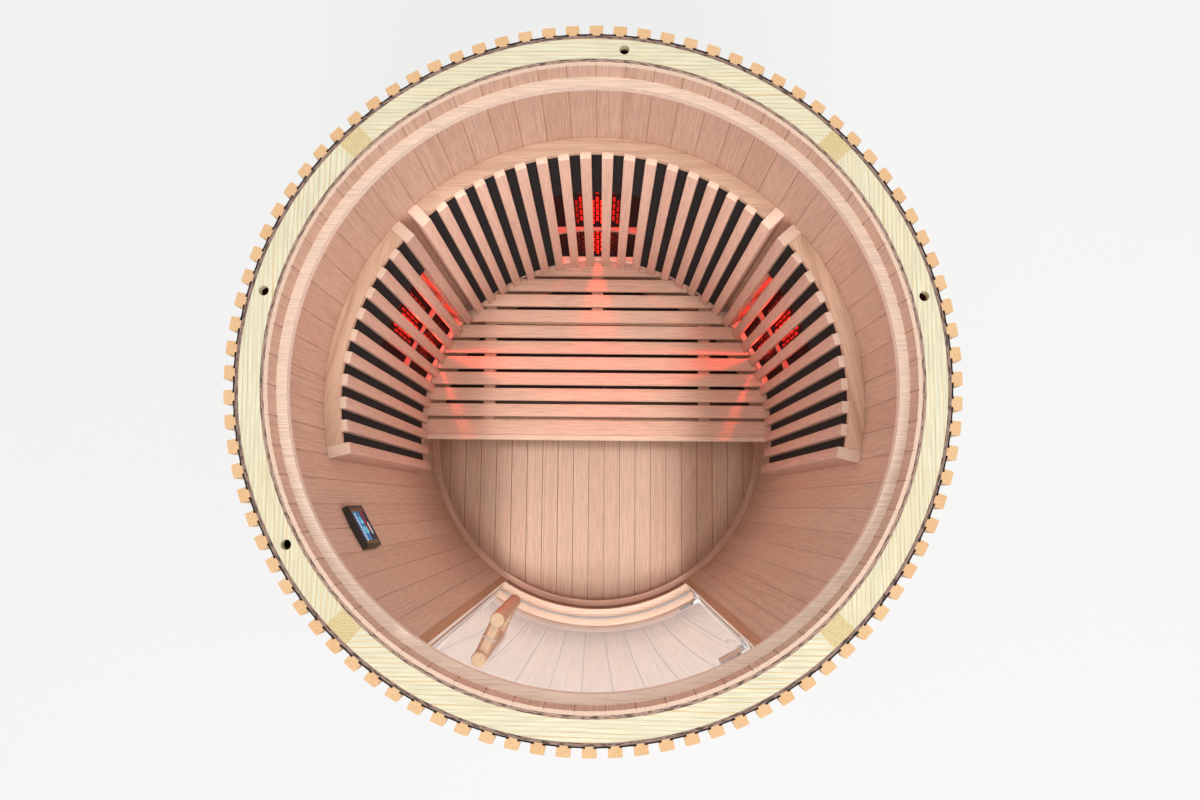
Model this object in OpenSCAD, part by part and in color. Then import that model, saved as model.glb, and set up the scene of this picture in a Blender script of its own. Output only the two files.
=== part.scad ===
// Round infrared sauna cabin, open at the top.
// Millimetres, +Z up. The origin is on the ground at the centre of the cabin.
// The door faces -Y. An angle called t is turned round from the middle of the
// door, anticlockwise seen from above, so +X is at t = 90 and the bench's back is at t = 180.

/* [Cabin] */
// Radius to the outer faces of the battens
outer_r = 750; // [650:1:900]
// Height of the wall's top above the ground
wall_top = 1940; // [1850:1:2100]
// Number of battens round the full circle
batten_count = 92; // [60:4:120]
// Width of one batten
batten_w = 29; // [20:1:34]
// Depth of one batten, with its narrow back
batten_d = 22; // [16:1:30]
// Thickness of each plywood skin
skin_t = 7; // [4:0.5:10]
// Width of the pine plates between the skins
plate_w = 44; // [30:1:60]
// Thickness of the inner wall boards
board_t = 8.5; // [6:0.5:12]

/* [Floor] */
// Height of the ring that the walls stand on
base_h = 32; // [20:1:60]
// Thickness of the floor deck
deck_t = 18; // [12:1:30]
// Height of the door sill's top above the ground
sill_top = 110; // [95:1:130]

/* [Door] */
// Half the angle of the door opening
door_half = 32.2; // [24:0.1:34]
// Angle that one jamb takes up beyond the opening
jamb_angle = 1.8; // [1.5:0.1:3]
// How far the door opening's top lies below the wall's top
head_drop = 160; // [140:1:220]
// Thickness of the door glass
glass_t = 8; // [6:1:10]
// How far the middle of the door glass lies inside the battens' outer faces
glass_inset = 45; // [42:1:48]
// Length of each handle bar
handle_len = 520; // [300:1:700]
// Diameter of each handle bar
handle_d = 42; // [30:1:50]

/* [Bench] */
// Height of the seat's top above the ground
seat_z = 500; // [420:1:560]
// Width of one seat slat
slat_w = 45.5; // [35:0.5:50]
// Gap between two seat slats
slat_gap = 12; // [6:1:20]
// How far the seat's front edge lies in front of the cabin's centre
seat_front = 32; // [0:1:80]

/* [Backrest] */
// Height of the backrest's top above the ground
back_z = 1560; // [1450:1:1650]
// Depth of a backrest from the wall to the face of its slats
back_d = 56; // [50:1:70]
// Angle that the middle backrest takes up
middle_angle = 91.2; // [84:0.1:93]
// Angle that each side backrest takes up
side_angle = 55.4; // [50:0.1:58]
// Angle of the gap between two backrests
back_gap_angle = 2.6; // [1.5:0.1:4]

/* [Hidden] */

$fn = 96;
eps = 0.01;

// Radii of the wall's layers, from the outside in
batten_neck_d = 4;
batten_neck_w = 16;
batten_round = 3;
skin_out_r = outer_r - batten_d;
plate_out_r = skin_out_r - skin_t;
plate_in_r = plate_out_r - plate_w;
inner_skin_t = 7.5;
board_out_r = plate_in_r - inner_skin_t;
room_r = board_out_r - board_t;
layer_gap = 0.1;

// Heights
floor_z = base_h + deck_t;
head_z = wall_top - head_drop;
plate_t = 21;
header_t = 20;
header_z = head_z + header_t;

// Ring that the walls stand on, and the bearers inside it
base_w = 128;
base_in_r = skin_out_r - base_w;
floor_bearer_w = 50;
floor_bearer_gap = 2;

// Where the wall's parts begin and end
front_half = door_half + jamb_angle;
front_post_t = 44;
back_post_t = 134.3;
post_angle = 4.5;

// Holes in the top plates that locate the roof
locator_r = (plate_in_r + plate_out_r) / 2;
locator_d = 21;
locator_back_t = 175.1;
locator_side_t = 104.1;
locator_left_front_t = -60.4;

batten_step = 360 / batten_count;
batten_foot = 20;
strip_w = 2 * skin_out_r * sin(batten_step / 2) - batten_neck_w - 0.7;
strip_t = batten_neck_d - 1;

ledge_w = 22;
ledge_t = 20;
ledge_drop = 50;

// Door leaf and hinges, as lengths along the glass
glass_r = outer_r - glass_inset;
edge_gap = 8;
hinge_offset = 18;
hinge_t = door_half - angle_of(hinge_offset, glass_r);
glass_half = door_half - angle_of(edge_gap, glass_r);
glass_z0 = sill_top + 10;
glass_z1 = head_z - edge_gap;
hinge_zs = [sill_top + 305, head_z - 240];
bracket_in = 25;
bracket_out = 40;
knuckle_h = 56;
knuckle_r = 9;
pin_r = 4;
pin_clearance = 0.05;
lug_h = 12;
lug_gap = 2;
clamp_len = 60;
clamp_t = 4;
notch_len = 15;
bracket_h = knuckle_h + 2 * (lug_gap + lug_h);
notch_clearance = 5;
notch_h = bracket_h + 2 * notch_clearance;
clamp_root = 6;
handle_t = -24.7;
handle_z0 = 650;
handle_offset = 63;
spacer_r = 19;
spacer_inset = 38;
washer_r = 21;
washer_t = 3;
bolt_r = 6;
bolt_clearance = 1;
seal_t = 1.5;
seal_w = 14;
seal_gap = 2;

// Bench
slat_t = 18;
bearer_w = 40;
bearer_h = 40;
bearer_x = room_r - 272;
front_board_d = 72;
cleat_w = 22;
bench_gap = 4;
bearer_lead = 5;
beam_gap = 1;
bench_r = room_r - bench_gap;
slat_rows = 10;
slat_pitch = slat_w + slat_gap;
first_slat_y = front_board_d - seat_front + slat_gap;

// Backrests
back_face_r = room_r - back_d;
slat_depth = 17;
back_slat_angle = 2.7;
end_board_angle = 2.7;
joint_angle = 0.02;
joint_gap = 0.2;
cap_t = 20;
panel_t = 3;
side_mid_t = 180 - middle_angle / 2 - back_gap_angle - side_angle / 2;
emitter_angle = 25.8;
emitter_top = back_z - 308;
emitter_shelf_z = seat_z + 381;
emitter_shelf_t = 15;
cheek_t = 8;
emitter_inset = 21;
emitter_face_r = room_r - emitter_inset;
emitter_gap = 7;
emitter_lift = 18;
side_emitter_turn = 0.4;
emitter_head_gap = 2;
emitter_w = 2 * (emitter_face_r * tan(emitter_angle / 2 - angle_of(cheek_t, room_r)) - emitter_gap);
emitter_back_r = sqrt(pow(room_r, 2) - pow(emitter_w / 2, 2));
panel_face_r = back_face_r + slat_depth + 1;

// Control panel: its place, its size as depth, width and height, and the rim round its screen
panel_mid_t = -60.5;
panel_size = [16, 112, 130];
panel_z = head_z - 330;
panel_rim = 8;
screen_recess = 2;
screen_t = 1.5;

function angle_of(length, radius) = 2 * asin(length / (2 * radius));
function side_slats() = 9;
function middle_slats() = 16;

// Turns its children from +X to the angle t round from the middle of the door
module at(t) {
    rotate([0, 0, t - 90]) children();
}

// Part of a ring with a rectangular section, from angle t0 to angle t1
module arc_block(r0, r1, t0, t1, z0, z1) {
    arc_profile(t0, t1)
        translate([r0, z0])
            square([r1 - r0, z1 - z0]);
}

// Turns a profile of radius and height from angle t0 to angle t1
module arc_profile(t0, t1) {
    at(t0) rotate_extrude(angle = t1 - t0) children();
}

module full_ring(r0, r1, z0, z1) {
    rotate_extrude()
        translate([r0, z0])
            square([r1 - r0, z1 - z0]);
}

// ---- Floor ----

module base_ring() {
    color("#e9d8ae") full_ring(base_in_r, skin_out_r, 0, base_h);
}

module floor_bearers() {
    color("#e0c9a0")
        for (row = [-1, 0, 1])
            let (y = row * base_in_r / 2, far_y = abs(y) + floor_bearer_w / 2,
                half = sqrt(pow(base_in_r - floor_bearer_gap, 2) - pow(far_y, 2)))
                translate([-half, y - floor_bearer_w / 2, 0]) cube([2 * half, floor_bearer_w, base_h]);
}

module floor_deck() {
    color("#dcae92") translate([0, 0, base_h]) cylinder(r = board_out_r, h = deck_t);
}

module floor_skirting() {
    color("#cf9c80") full_ring(room_r - ledge_w, room_r, floor_z, floor_z + ledge_t);
}

// The sill's foot stands on the base ring, and its top reaches out over the battens' line
module door_sill() {
    color("#e8bd9b")
        arc_profile(-door_half, door_half)
            polygon([[board_out_r, base_h], [skin_out_r, base_h], [skin_out_r, floor_z],
                [outer_r, floor_z], [outer_r, sill_top], [board_out_r, sill_top]]);
}

// ---- Wall ----

module top_plate(t0, t1, holes = []) {
    color("#f0e7c4")
        difference() {
            arc_block(plate_in_r, plate_out_r, t0, t1, wall_top - plate_t, wall_top);
            for (t = holes)
                at(t) translate([locator_r, 0, wall_top - plate_t - 1])
                    cylinder(d = locator_d, h = plate_t + 2);
        }
}

module corner_posts() {
    color("#dcc795")
        for (t = [front_post_t, back_post_t, -back_post_t, -front_post_t])
            arc_block(plate_in_r, plate_out_r, t - post_angle / 2, t + post_angle / 2, base_h, wall_top);
}

module outer_skin(t0, t1, z0) {
    color("#8d6a5a") arc_block(plate_out_r + layer_gap, skin_out_r, t0, t1, z0, wall_top);
}

module inner_skin(t0, t1, z0) {
    color("#8d6a5a") arc_block(board_out_r + layer_gap, plate_in_r - layer_gap, t0, t1, z0, wall_top);
}

module wall_boards() {
    color("#deab90") {
        arc_block(room_r, board_out_r, front_half, 360 - front_half, floor_z, wall_top);
        arc_block(room_r, board_out_r, -front_half, front_half, header_z, wall_top);
    }
}

// A batten's section: a head with rounded outer corners on a narrow neck
module batten_section() {
    translate([skin_out_r, -batten_neck_w / 2])
        square([batten_neck_d + eps, batten_neck_w]);
    translate([skin_out_r + batten_neck_d, -batten_w / 2])
        square([batten_d - batten_neck_d - batten_round, batten_w]);
    translate([skin_out_r + batten_neck_d, -batten_w / 2 + batten_round])
        square([batten_d - batten_neck_d, batten_w - 2 * batten_round]);
    for (side = [-1, 1])
        translate([outer_r - batten_round, side * (batten_w / 2 - batten_round)])
            circle(r = batten_round);
}

module battens() {
    color("#efc49b")
        for (i = [0 : batten_count - 1])
            let (t = i * batten_step, foot = over_door(t) ? head_z : batten_foot)
                at(t) translate([0, 0, foot])
                    linear_extrude(wall_top - foot) batten_section();
}

module gap_strips() {
    color("#26282a")
        for (i = [0 : batten_count - 1])
            let (t = (i + 0.5) * batten_step, foot = over_door(t) ? head_z : batten_foot)
                at(t) translate([skin_out_r, -strip_w / 2, foot])
                    cube([strip_t, strip_w, wall_top - foot]);
}

function over_door(t) = t < front_half || t > 360 - front_half;

module ceiling_ledge() {
    ledge_top = wall_top - ledge_drop;
    color("#e2b497") full_ring(room_r - ledge_w, room_r, ledge_top - ledge_t, ledge_top);
}

// ---- Doorway ----

module door_jambs() {
    color("#e6bfa3")
        for (t = [door_half, -front_half])
            arc_profile(t, t + jamb_angle)
                polygon([[room_r, floor_z], [board_out_r, floor_z], [board_out_r, base_h],
                    [skin_out_r, base_h], [skin_out_r, head_z], [room_r, head_z]]);
}

module door_header() {
    color("#e6bfa3") arc_block(room_r, skin_out_r, -front_half, front_half, head_z, header_z);
}

// A seal down each jamb, which stops short of the hinge brackets
module jamb_seals() {
    z0 = sill_top + seal_gap;
    z1 = head_z - seal_gap;
    clear = bracket_h / 2 + seal_gap;
    hinge_side = [[z0, hinge_zs[0] - clear], [hinge_zs[0] + clear, hinge_zs[1] - clear],
        [hinge_zs[1] + clear, z1]];
    color("#e8ecee") {
        seal_strip(-door_half, 0, z0, z1);
        for (z = hinge_side)
            seal_strip(door_half, -seal_t, z[0], z[1]);
    }
}

module seal_strip(t, side, z0, z1) {
    at(t) translate([glass_r - seal_w / 2, side, z0]) cube([seal_w, seal_t, z1 - z0]);
}

// Goes to the hinge axis: X points out of the cabin, Y points at the right jamb
module at_hinge_axis() {
    at(hinge_t) translate([glass_r, 0, 0]) children();
}

module hinge_brackets() {
    reach = hinge_offset - clamp_t;
    color("#c9ccd0")
        for (z = hinge_zs) translate([0, 0, z]) {
            at(door_half)
                translate([glass_r - bracket_in, -clamp_t, -bracket_h / 2])
                    cube([bracket_in + bracket_out, clamp_t, bracket_h]);
            at_hinge_axis() {
                for (side = [-1, 1])
                    translate([0, 0, side * (knuckle_h / 2 + lug_gap + lug_h / 2) - lug_h / 2]) {
                        cylinder(r = knuckle_r, h = lug_h);
                        translate([-knuckle_r, 0, 0]) cube([2 * knuckle_r, reach + 0.5, lug_h]);
                    }
                translate([0, 0, -knuckle_h / 2 - lug_gap - eps])
                    cylinder(r = pin_r, h = knuckle_h + 2 * (lug_gap + eps));
            }
        }
}

// ---- Door leaf ----

// Goes to each handle bolt: Z points out of the cabin, from the cabin's axis
module bolt_places() {
    for (z = [handle_z0 + spacer_inset, handle_z0 + handle_len - spacer_inset])
        at(handle_t) translate([0, 0, z]) rotate([0, 90, 0]) children();
}

module door_glass() {
    color([0.8, 0.9, 0.92, 0.35])
        difference() {
            arc_block(glass_r - glass_t / 2, glass_r + glass_t / 2, -glass_half, glass_half,
                glass_z0, glass_z1);
            for (z = hinge_zs)
                at_hinge_axis()
                    translate([-glass_t, -notch_len, z - notch_h / 2])
                        cube([2 * glass_t, notch_len + hinge_offset, notch_h]);
            bolt_places()
                translate([0, 0, glass_r - glass_t]) cylinder(r = bolt_r + bolt_clearance, h = 2 * glass_t);
        }
}

module handle_bar(r) {
    at(handle_t) translate([r, 0, handle_z0]) cylinder(d = handle_d, h = handle_len);
}

// A bar on each side of the glass, each with two round spacers that reach to the washers
module door_handles() {
    spacer_len = handle_offset - glass_t / 2 - washer_t;
    color("#dba67f")
        difference() {
            union() {
                for (side = [-1, 1])
                    handle_bar(glass_r + side * handle_offset);
                bolt_places()
                    for (r0 = [glass_r - handle_offset, glass_r + handle_offset - spacer_len])
                        translate([0, 0, r0]) cylinder(r = spacer_r, h = spacer_len);
            }
            handle_bolts();
        }
}

module handle_bolts() {
    bolt_places()
        translate([0, 0, glass_r - handle_offset]) cylinder(r = bolt_r, h = 2 * handle_offset);
}

// Through bolts, with a washer against each face of the curved glass
module handle_standoffs() {
    washer_lift = 0.5;
    color("#d4d7da") {
        handle_bolts();
        bolt_places()
            for (z = [glass_r - glass_t / 2 - washer_t, glass_r + glass_t / 2 + washer_lift])
                translate([0, 0, z]) cylinder(r = washer_r, h = washer_t - washer_lift);
    }
}

module door_hinges() {
    clamp_angle = angle_of(clamp_len, glass_r);
    root_angle = angle_of(clamp_root, glass_r);
    color("#c9ccd0")
        for (z = hinge_zs)
            difference() {
                union() {
                    for (r0 = [glass_r - glass_t / 2 - clamp_t, glass_r + glass_t / 2])
                        arc_block(r0, r0 + clamp_t, hinge_t - clamp_angle, hinge_t - root_angle,
                            z - knuckle_h / 2, z + knuckle_h / 2);
                    translate([0, 0, z - knuckle_h / 2])
                        at_hinge_axis() cylinder(r = knuckle_r, h = knuckle_h);
                }
                translate([0, 0, z - knuckle_h / 2 - 1])
                    at_hinge_axis() cylinder(r = pin_r + pin_clearance, h = knuckle_h + 2);
            }
}

module door_sweep() {
    lip = 2;
    color("#aab8c2")
        difference() {
            arc_block(glass_r - glass_t / 2 - lip, glass_r + glass_t / 2 + lip, -glass_half, glass_half,
                glass_z0 - 4, glass_z0 + 8);
            arc_block(glass_r - glass_t / 2, glass_r + glass_t / 2, -glass_half - 1, glass_half + 1,
                glass_z0, glass_z0 + 9);
        }
}

// ---- Bench ----

module seat_board(y, depth) {
    intersection() {
        translate([-room_r, y, seat_z - slat_t]) cube([2 * room_r, depth, slat_t]);
        cylinder(r = bench_r, h = seat_z);
    }
}

// The rear board reaches back to the wall and carries the backrests
module bench_slats() {
    color("#e3b296") {
        seat_board(-seat_front, front_board_d);
        for (i = [0 : slat_rows - 2])
            seat_board(first_slat_y + i * slat_pitch, slat_w);
        seat_board(first_slat_y + (slat_rows - 1) * slat_pitch, bench_r);
    }
}

module bench_bearers() {
    z1 = seat_z - slat_t;
    cleat_r = room_r - cleat_w;
    rear_y = first_slat_y + 6 * slat_pitch - bearer_lead + bearer_w / 2;
    front_y = first_slat_y - slat_gap / 2;
    color("#d9a488") {
        for (side = [-1, 1])
            intersection() {
                translate([side * bearer_x - bearer_w / 2, -seat_front + bench_gap, z1 - bearer_h])
                    cube([bearer_w, room_r, bearer_h]);
                cylinder(r = cleat_r, h = seat_z);
            }
        translate([-bearer_x + bearer_w / 2, rear_y - bearer_w / 2, z1 - bearer_h])
            cube([2 * bearer_x - bearer_w, bearer_w, bearer_h]);
        intersection() {
            translate([-bearer_w / 2, rear_y + bearer_w / 2, z1 - bearer_h])
                cube([bearer_w, room_r, bearer_h]);
            cylinder(r = cleat_r, h = seat_z);
        }
        intersection() {
            translate([-room_r, front_y - bearer_w / 2, z1 - 2 * bearer_h])
                cube([2 * room_r, bearer_w, bearer_h]);
            cylinder(r = room_r - beam_gap, h = seat_z);
        }
    }
}

module bench_cleat() {
    z1 = seat_z - slat_t;
    color("#d9a488") arc_block(room_r - cleat_w, room_r, 84, 276, z1 - bearer_h, z1);
}

// ---- Backrests ----

// Vertical slats of one backrest, spread evenly between its end boards
module backrest_slats(mid_t, angle, count) {
    clear_angle = angle - 2 * end_board_angle;
    gap_angle = (clear_angle - count * back_slat_angle) / (count + 1);
    start_t = mid_t - clear_angle / 2 + gap_angle;
    color("#e5b095")
        for (i = [0 : count - 1])
            let (t = start_t + i * (back_slat_angle + gap_angle))
                arc_block(back_face_r, back_face_r + slat_depth, t, t + back_slat_angle, seat_z, back_z);
}

// End boards with a cap board and a foot board between them
module backrest_frame(mid_t, angle) {
    t0 = mid_t - angle / 2;
    t1 = mid_t + angle / 2;
    rail_r = back_face_r + slat_depth;
    color("#e3b197") {
        arc_block(back_face_r, room_r, t0, t0 + end_board_angle, seat_z, back_z);
        arc_block(back_face_r, room_r, t1 - end_board_angle, t1, seat_z, back_z);
        for (z = [seat_z, back_z - cap_t])
            arc_block(rail_r, room_r, t0 + end_board_angle + joint_angle, t1 - end_board_angle - joint_angle,
                z, z + cap_t);
    }
}

side_box_t = side_mid_t + side_angle / 2 - end_board_angle - emitter_angle / 2;

// Each entry: middle angle, whole angle, middle angle of its heater box, and of the emitters in the box
backrests = [
    [-side_mid_t, side_angle, -side_box_t, -side_box_t + side_emitter_turn],
    [180, middle_angle, 180, 180],
    [side_mid_t, side_angle, side_box_t, side_box_t - side_emitter_turn]
];

module heater_panels() {
    z0 = seat_z + cap_t;
    color("#202224")
        for (b = backrests) {
            t0 = b[0] - b[1] / 2 + end_board_angle + joint_angle;
            t1 = b[0] + b[1] / 2 - end_board_angle - joint_angle;
            panel(t0, t1, emitter_top + joint_gap, back_z - cap_t - joint_gap);
            if (b[2] - emitter_angle / 2 > t0 + 1)
                panel(t0, b[2] - emitter_angle / 2, z0 + joint_gap, emitter_top);
            if (b[2] + emitter_angle / 2 < t1 - 1)
                panel(b[2] + emitter_angle / 2, t1, z0 + joint_gap, emitter_top);
        }
}

module panel(t0, t1, z0, z1) {
    arc_block(panel_face_r, panel_face_r + panel_t, t0, t1, z0, z1);
}

// The top board lies behind the panel above it, and the cheeks and the shelf reach to the panels' faces
module emitter_boxes() {
    z0 = seat_z + cap_t;
    cheek_angle = angle_of(cheek_t, room_r);
    color("#dfa78c")
        for (b = backrests) {
            t0 = b[2] - emitter_angle / 2;
            t1 = b[2] + emitter_angle / 2;
            for (t = [t0 + joint_angle, t1 - cheek_angle - joint_angle])
                arc_block(panel_face_r, room_r, t, t + cheek_angle, z0 + joint_gap, emitter_top - joint_gap);
            arc_block(panel_face_r + panel_t, room_r, t0 + joint_angle, t1 - joint_angle,
                emitter_top, emitter_top + cheek_t);
            arc_block(panel_face_r, room_r,
                t0 + cheek_angle + 2 * joint_angle, t1 - cheek_angle - 2 * joint_angle,
                emitter_shelf_z, emitter_shelf_z + emitter_shelf_t);
        }
}

// Flat emitters, whose upright back edges touch the round wall
module emitters() {
    lower_z = seat_z + cap_t + emitter_lift;
    upper_z = emitter_shelf_z + emitter_shelf_t;
    depth = emitter_back_r - emitter_face_r;
    color("#301012")
        for (b = backrests)
            at(b[3]) translate([emitter_face_r, -emitter_w / 2, 0]) {
                translate([0, 0, lower_z])
                    cube([depth, emitter_w, emitter_shelf_z - lower_z - emitter_head_gap]);
                translate([0, 0, upper_z])
                    cube([depth, emitter_w, emitter_top - upper_z - emitter_head_gap]);
            }
}

// ---- Controls ----

// The back of the panel touches the round wall at its upright edges
module at_panel() {
    corner_r = sqrt(pow(room_r, 2) - pow(panel_size[1] / 2, 2));
    at(panel_mid_t) translate([corner_r - panel_size[0], 0, panel_z]) children();
}

module control_panel() {
    color("#2b2d30")
        at_panel()
            difference() {
                translate([0, -panel_size[1] / 2, 0]) cube(panel_size);
                translate([-1, -panel_size[1] / 2 + panel_rim, panel_rim])
                    cube([1 + screen_recess, panel_size[1] - 2 * panel_rim, panel_size[2] - 2 * panel_rim]);
            }
}

module control_screen() {
    color("#2a5f8a")
        at_panel()
            translate([screen_recess - screen_t, -panel_size[1] / 2 + panel_rim, panel_rim])
                cube([screen_t, panel_size[1] - 2 * panel_rim, panel_size[2] - 2 * panel_rim]);
}

base_ring();
floor_bearers();
floor_deck();
floor_skirting();
door_sill();
top_plate(back_post_t + post_angle / 2, 360 - back_post_t - post_angle / 2, [locator_back_t]);  // top_plate_back
top_plate(-back_post_t + post_angle / 2, -front_post_t - post_angle / 2,  // top_plate_left
        [-locator_side_t, locator_left_front_t]);
top_plate(front_post_t + post_angle / 2, back_post_t - post_angle / 2, [locator_side_t]);  // top_plate_right
top_plate(-front_post_t + post_angle / 2, front_post_t - post_angle / 2);  // top_plate_front
corner_posts();
outer_skin(back_post_t, 360 - back_post_t, base_h);  // outer_skin_back
outer_skin(-back_post_t, -front_half, base_h);  // outer_skin_left
outer_skin(front_half, back_post_t, base_h);  // outer_skin_right
outer_skin(-front_half, front_half, header_z);  // outer_skin_front
inner_skin(back_post_t, 360 - back_post_t, base_h);  // inner_skin_back
inner_skin(-back_post_t, -front_half, base_h);  // inner_skin_left
inner_skin(front_half, back_post_t, base_h);  // inner_skin_right
inner_skin(-front_half, front_half, header_z);  // inner_skin_front
wall_boards();
battens();
gap_strips();
ceiling_ledge();
door_jambs();
door_header();
jamb_seals();
hinge_brackets();
door_glass();
door_handles();
handle_standoffs();
door_hinges();
door_sweep();
bench_slats();
bench_bearers();
bench_cleat();
backrest_slats(-side_mid_t, side_angle, side_slats());  // backrest_slats_left
backrest_slats(180, middle_angle, middle_slats());  // backrest_slats_middle
backrest_slats(side_mid_t, side_angle, side_slats());  // backrest_slats_right
backrest_frame(-side_mid_t, side_angle);  // backrest_frame_left
backrest_frame(180, middle_angle);  // backrest_frame_middle
backrest_frame(side_mid_t, side_angle);  // backrest_frame_right
heater_panels();
emitter_boxes();
emitters();
control_panel();
control_screen();
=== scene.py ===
"""Dresses the round infrared sauna cabin: timber, glass, heaters, controls, light and camera.

Lengths are in metres, +Z is up and the origin is on the ground at the cabin's centre. The
door faces -Y. An angle called turn is measured in degrees round from the middle of the
door, anticlockwise seen from above, as in the part's own source.
"""

import logging
import math
import random
from dataclasses import dataclass, field, replace
from enum import Enum
from typing import Callable, Iterable, Sequence

import bmesh
import bpy
from mathutils import Matrix, Vector


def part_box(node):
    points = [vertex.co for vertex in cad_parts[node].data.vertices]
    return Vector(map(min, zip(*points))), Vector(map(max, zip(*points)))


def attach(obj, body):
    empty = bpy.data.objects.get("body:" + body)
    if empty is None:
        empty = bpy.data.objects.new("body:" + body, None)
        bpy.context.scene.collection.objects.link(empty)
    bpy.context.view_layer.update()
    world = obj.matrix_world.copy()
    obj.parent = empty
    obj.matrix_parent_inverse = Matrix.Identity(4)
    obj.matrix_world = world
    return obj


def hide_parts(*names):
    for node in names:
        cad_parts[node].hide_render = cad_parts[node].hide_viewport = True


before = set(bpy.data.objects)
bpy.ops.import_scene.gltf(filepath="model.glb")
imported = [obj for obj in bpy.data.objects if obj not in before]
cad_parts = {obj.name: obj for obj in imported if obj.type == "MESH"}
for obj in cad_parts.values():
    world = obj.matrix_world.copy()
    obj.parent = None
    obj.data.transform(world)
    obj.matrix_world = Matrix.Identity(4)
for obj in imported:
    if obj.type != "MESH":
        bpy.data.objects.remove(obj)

LOG = logging.getLogger("sauna")
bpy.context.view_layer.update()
MM = 0.001
UP = Vector((0, 0, 1))
SIDES = ("left", "middle", "right")
WHITE = (1.0, 1.0, 1.0, 1.0)

Point = tuple[float, float, float]
Ring = list[Point]
Grain = Callable[[Point], Point]
Span = tuple[float, float]
Socket = bpy.types.NodeSocket

# Where a board is cut from its log: spans across, along and off the pith, in metres.
LOG_CUTS: tuple[Span, ...] = ((-0.09, 0.09), (-40.0, 40.0), (0.03, 0.16))
# Least rounding that an edge keeps where a board draws in.
LEAST_EASE = 0.3 * MM
# Half the gap between two boards that touch.
HAIR = 0.15 * MM


# ---------------------------------------------------------------- geometry helpers


def polar(turn: float, radius: float, z: float) -> Point:
    """Returns the point at a turn, a radius and a height."""
    a = math.radians(turn)
    return (radius * math.sin(a), -radius * math.cos(a), z)


def turn_of(x: float, y: float) -> float:
    """Returns the turn of a place in plan, from 0 to 360."""
    return math.degrees(math.atan2(x, -y)) % 360.0


def arc_turn(length: float, radius: float) -> float:
    """Returns the turn that an arc of this length takes up at a radius."""
    return math.degrees(length / radius)


def span(values: Iterable[float]) -> Span:
    """Returns the lowest and the highest of some values."""
    found = list(values)
    return min(found), max(found)


@dataclass(frozen=True)
class Extent:
    """The room that one solid takes up round the cabin's axis.

    Attributes:
        t0: Lowest turn.
        t1: Highest turn.
        r0: Inner radius.
        r1: Outer radius.
        z0: Bottom.
        z1: Top.
    """

    t0: float
    t1: float
    r0: float
    r1: float
    z0: float
    z1: float

    @property
    def middle(self) -> float:
        """The turn halfway through the solid."""
        return (self.t0 + self.t1) / 2

    def shrunk(self, by: float) -> "Extent":
        """Returns the extent with every side moved in by a length."""
        turn = arc_turn(by, self.r0)
        return Extent(self.t0 + turn, self.t1 - turn, self.r0 + by, self.r1 - by, self.z0, self.z1)


def solids_of(node: str) -> list[list[Vector]]:
    """Splits a node of the frame into the corner points of its separate solids.

    Args:
        node: The node's name.

    Returns:
        One list of points for each solid.
    """
    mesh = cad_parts[node].data
    parent: dict[Point, Point] = {}

    def key(index: int) -> Point:
        """Returns a corner's place, rounded so that corners that touch are the same."""
        return tuple(round(c, 5) for c in mesh.vertices[index].co)

    def root(k: Point) -> Point:
        """Returns the corner that stands for all those joined to one.

        Args:
            k: The corner to start from.

        Returns:
            The corner that they share.
        """
        while parent[k] != k:
            parent[k] = parent[parent[k]]
            k = parent[k]
        return k

    for vertex in mesh.vertices:
        parent.setdefault(key(vertex.index), key(vertex.index))
    for edge in mesh.edges:
        a, b = (root(key(i)) for i in edge.vertices)
        if a != b:
            parent[a] = b
    groups: dict[Point, list[Vector]] = {}
    for k in parent:
        groups.setdefault(root(k), []).append(Vector(k))
    return list(groups.values())


def extent_of(points: Iterable[Vector]) -> Extent:
    """Measures one solid in turns, radii and heights.

    Args:
        points: The solid's corner points.

    Returns:
        Its extent, with turns that run on past 360 where it crosses the door's middle.
    """
    pts = list(points)
    turns = sorted(turn_of(p.x, p.y) for p in pts)
    gaps = [(turns[(i + 1) % len(turns)] - t) % 360.0 for i, t in enumerate(turns)]
    widest = max(range(len(gaps)), key=gaps.__getitem__)
    t0 = turns[(widest + 1) % len(turns)]
    t1 = turns[widest]
    radii = span(math.hypot(p.x, p.y) for p in pts)
    return Extent(t0, t1 if t1 > t0 else t1 + 360.0, *radii, *span(p.z for p in pts))


def extents_in(node: str) -> list[Extent]:
    """Returns the extents of a node's solids, in the order of their turns."""
    return sorted((extent_of(s) for s in solids_of(node)), key=lambda e: (e.t0, e.z0))


@dataclass(frozen=True)
class FlatFace:
    """A frame of reference on the front of an upright flat thing that faces the cabin's axis.

    Attributes:
        out: Level direction from the cabin's axis to the face.
        side: Level direction along its face.
        radius: Distance of its face from the axis.
        half: Half its width.
        z0: Its bottom.
        z1: Its top.
    """

    out: Vector
    side: Vector
    radius: float
    half: float
    z0: float
    z1: float

    def point(self, across: float, z: float, forward: float) -> Point:
        """Returns the point at a place across the face, a height and a distance in front of it."""
        return tuple(self.out * (self.radius - forward) + self.side * across + UP * z)


def flat_faces(node: str) -> list[FlatFace]:
    """Returns the front of each solid of a node, in the order of their turns and heights.

    Args:
        node: The node's name.

    Returns:
        One face for each solid.
    """
    faces = []
    for solid in solids_of(node):
        middle = sum(solid, Vector()) / len(solid)
        out = Vector((middle.x, middle.y, 0)).normalized()
        side = Vector((-out.y, out.x, 0))
        radius = min(p.dot(out) for p in solid)
        half = max(abs(p.dot(side)) for p in solid)
        faces.append(FlatFace(out, side, radius, half, *span(p.z for p in solid)))
    return sorted(faces, key=lambda f: (round(turn_of(f.out.x, f.out.y)), f.z0))


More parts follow.
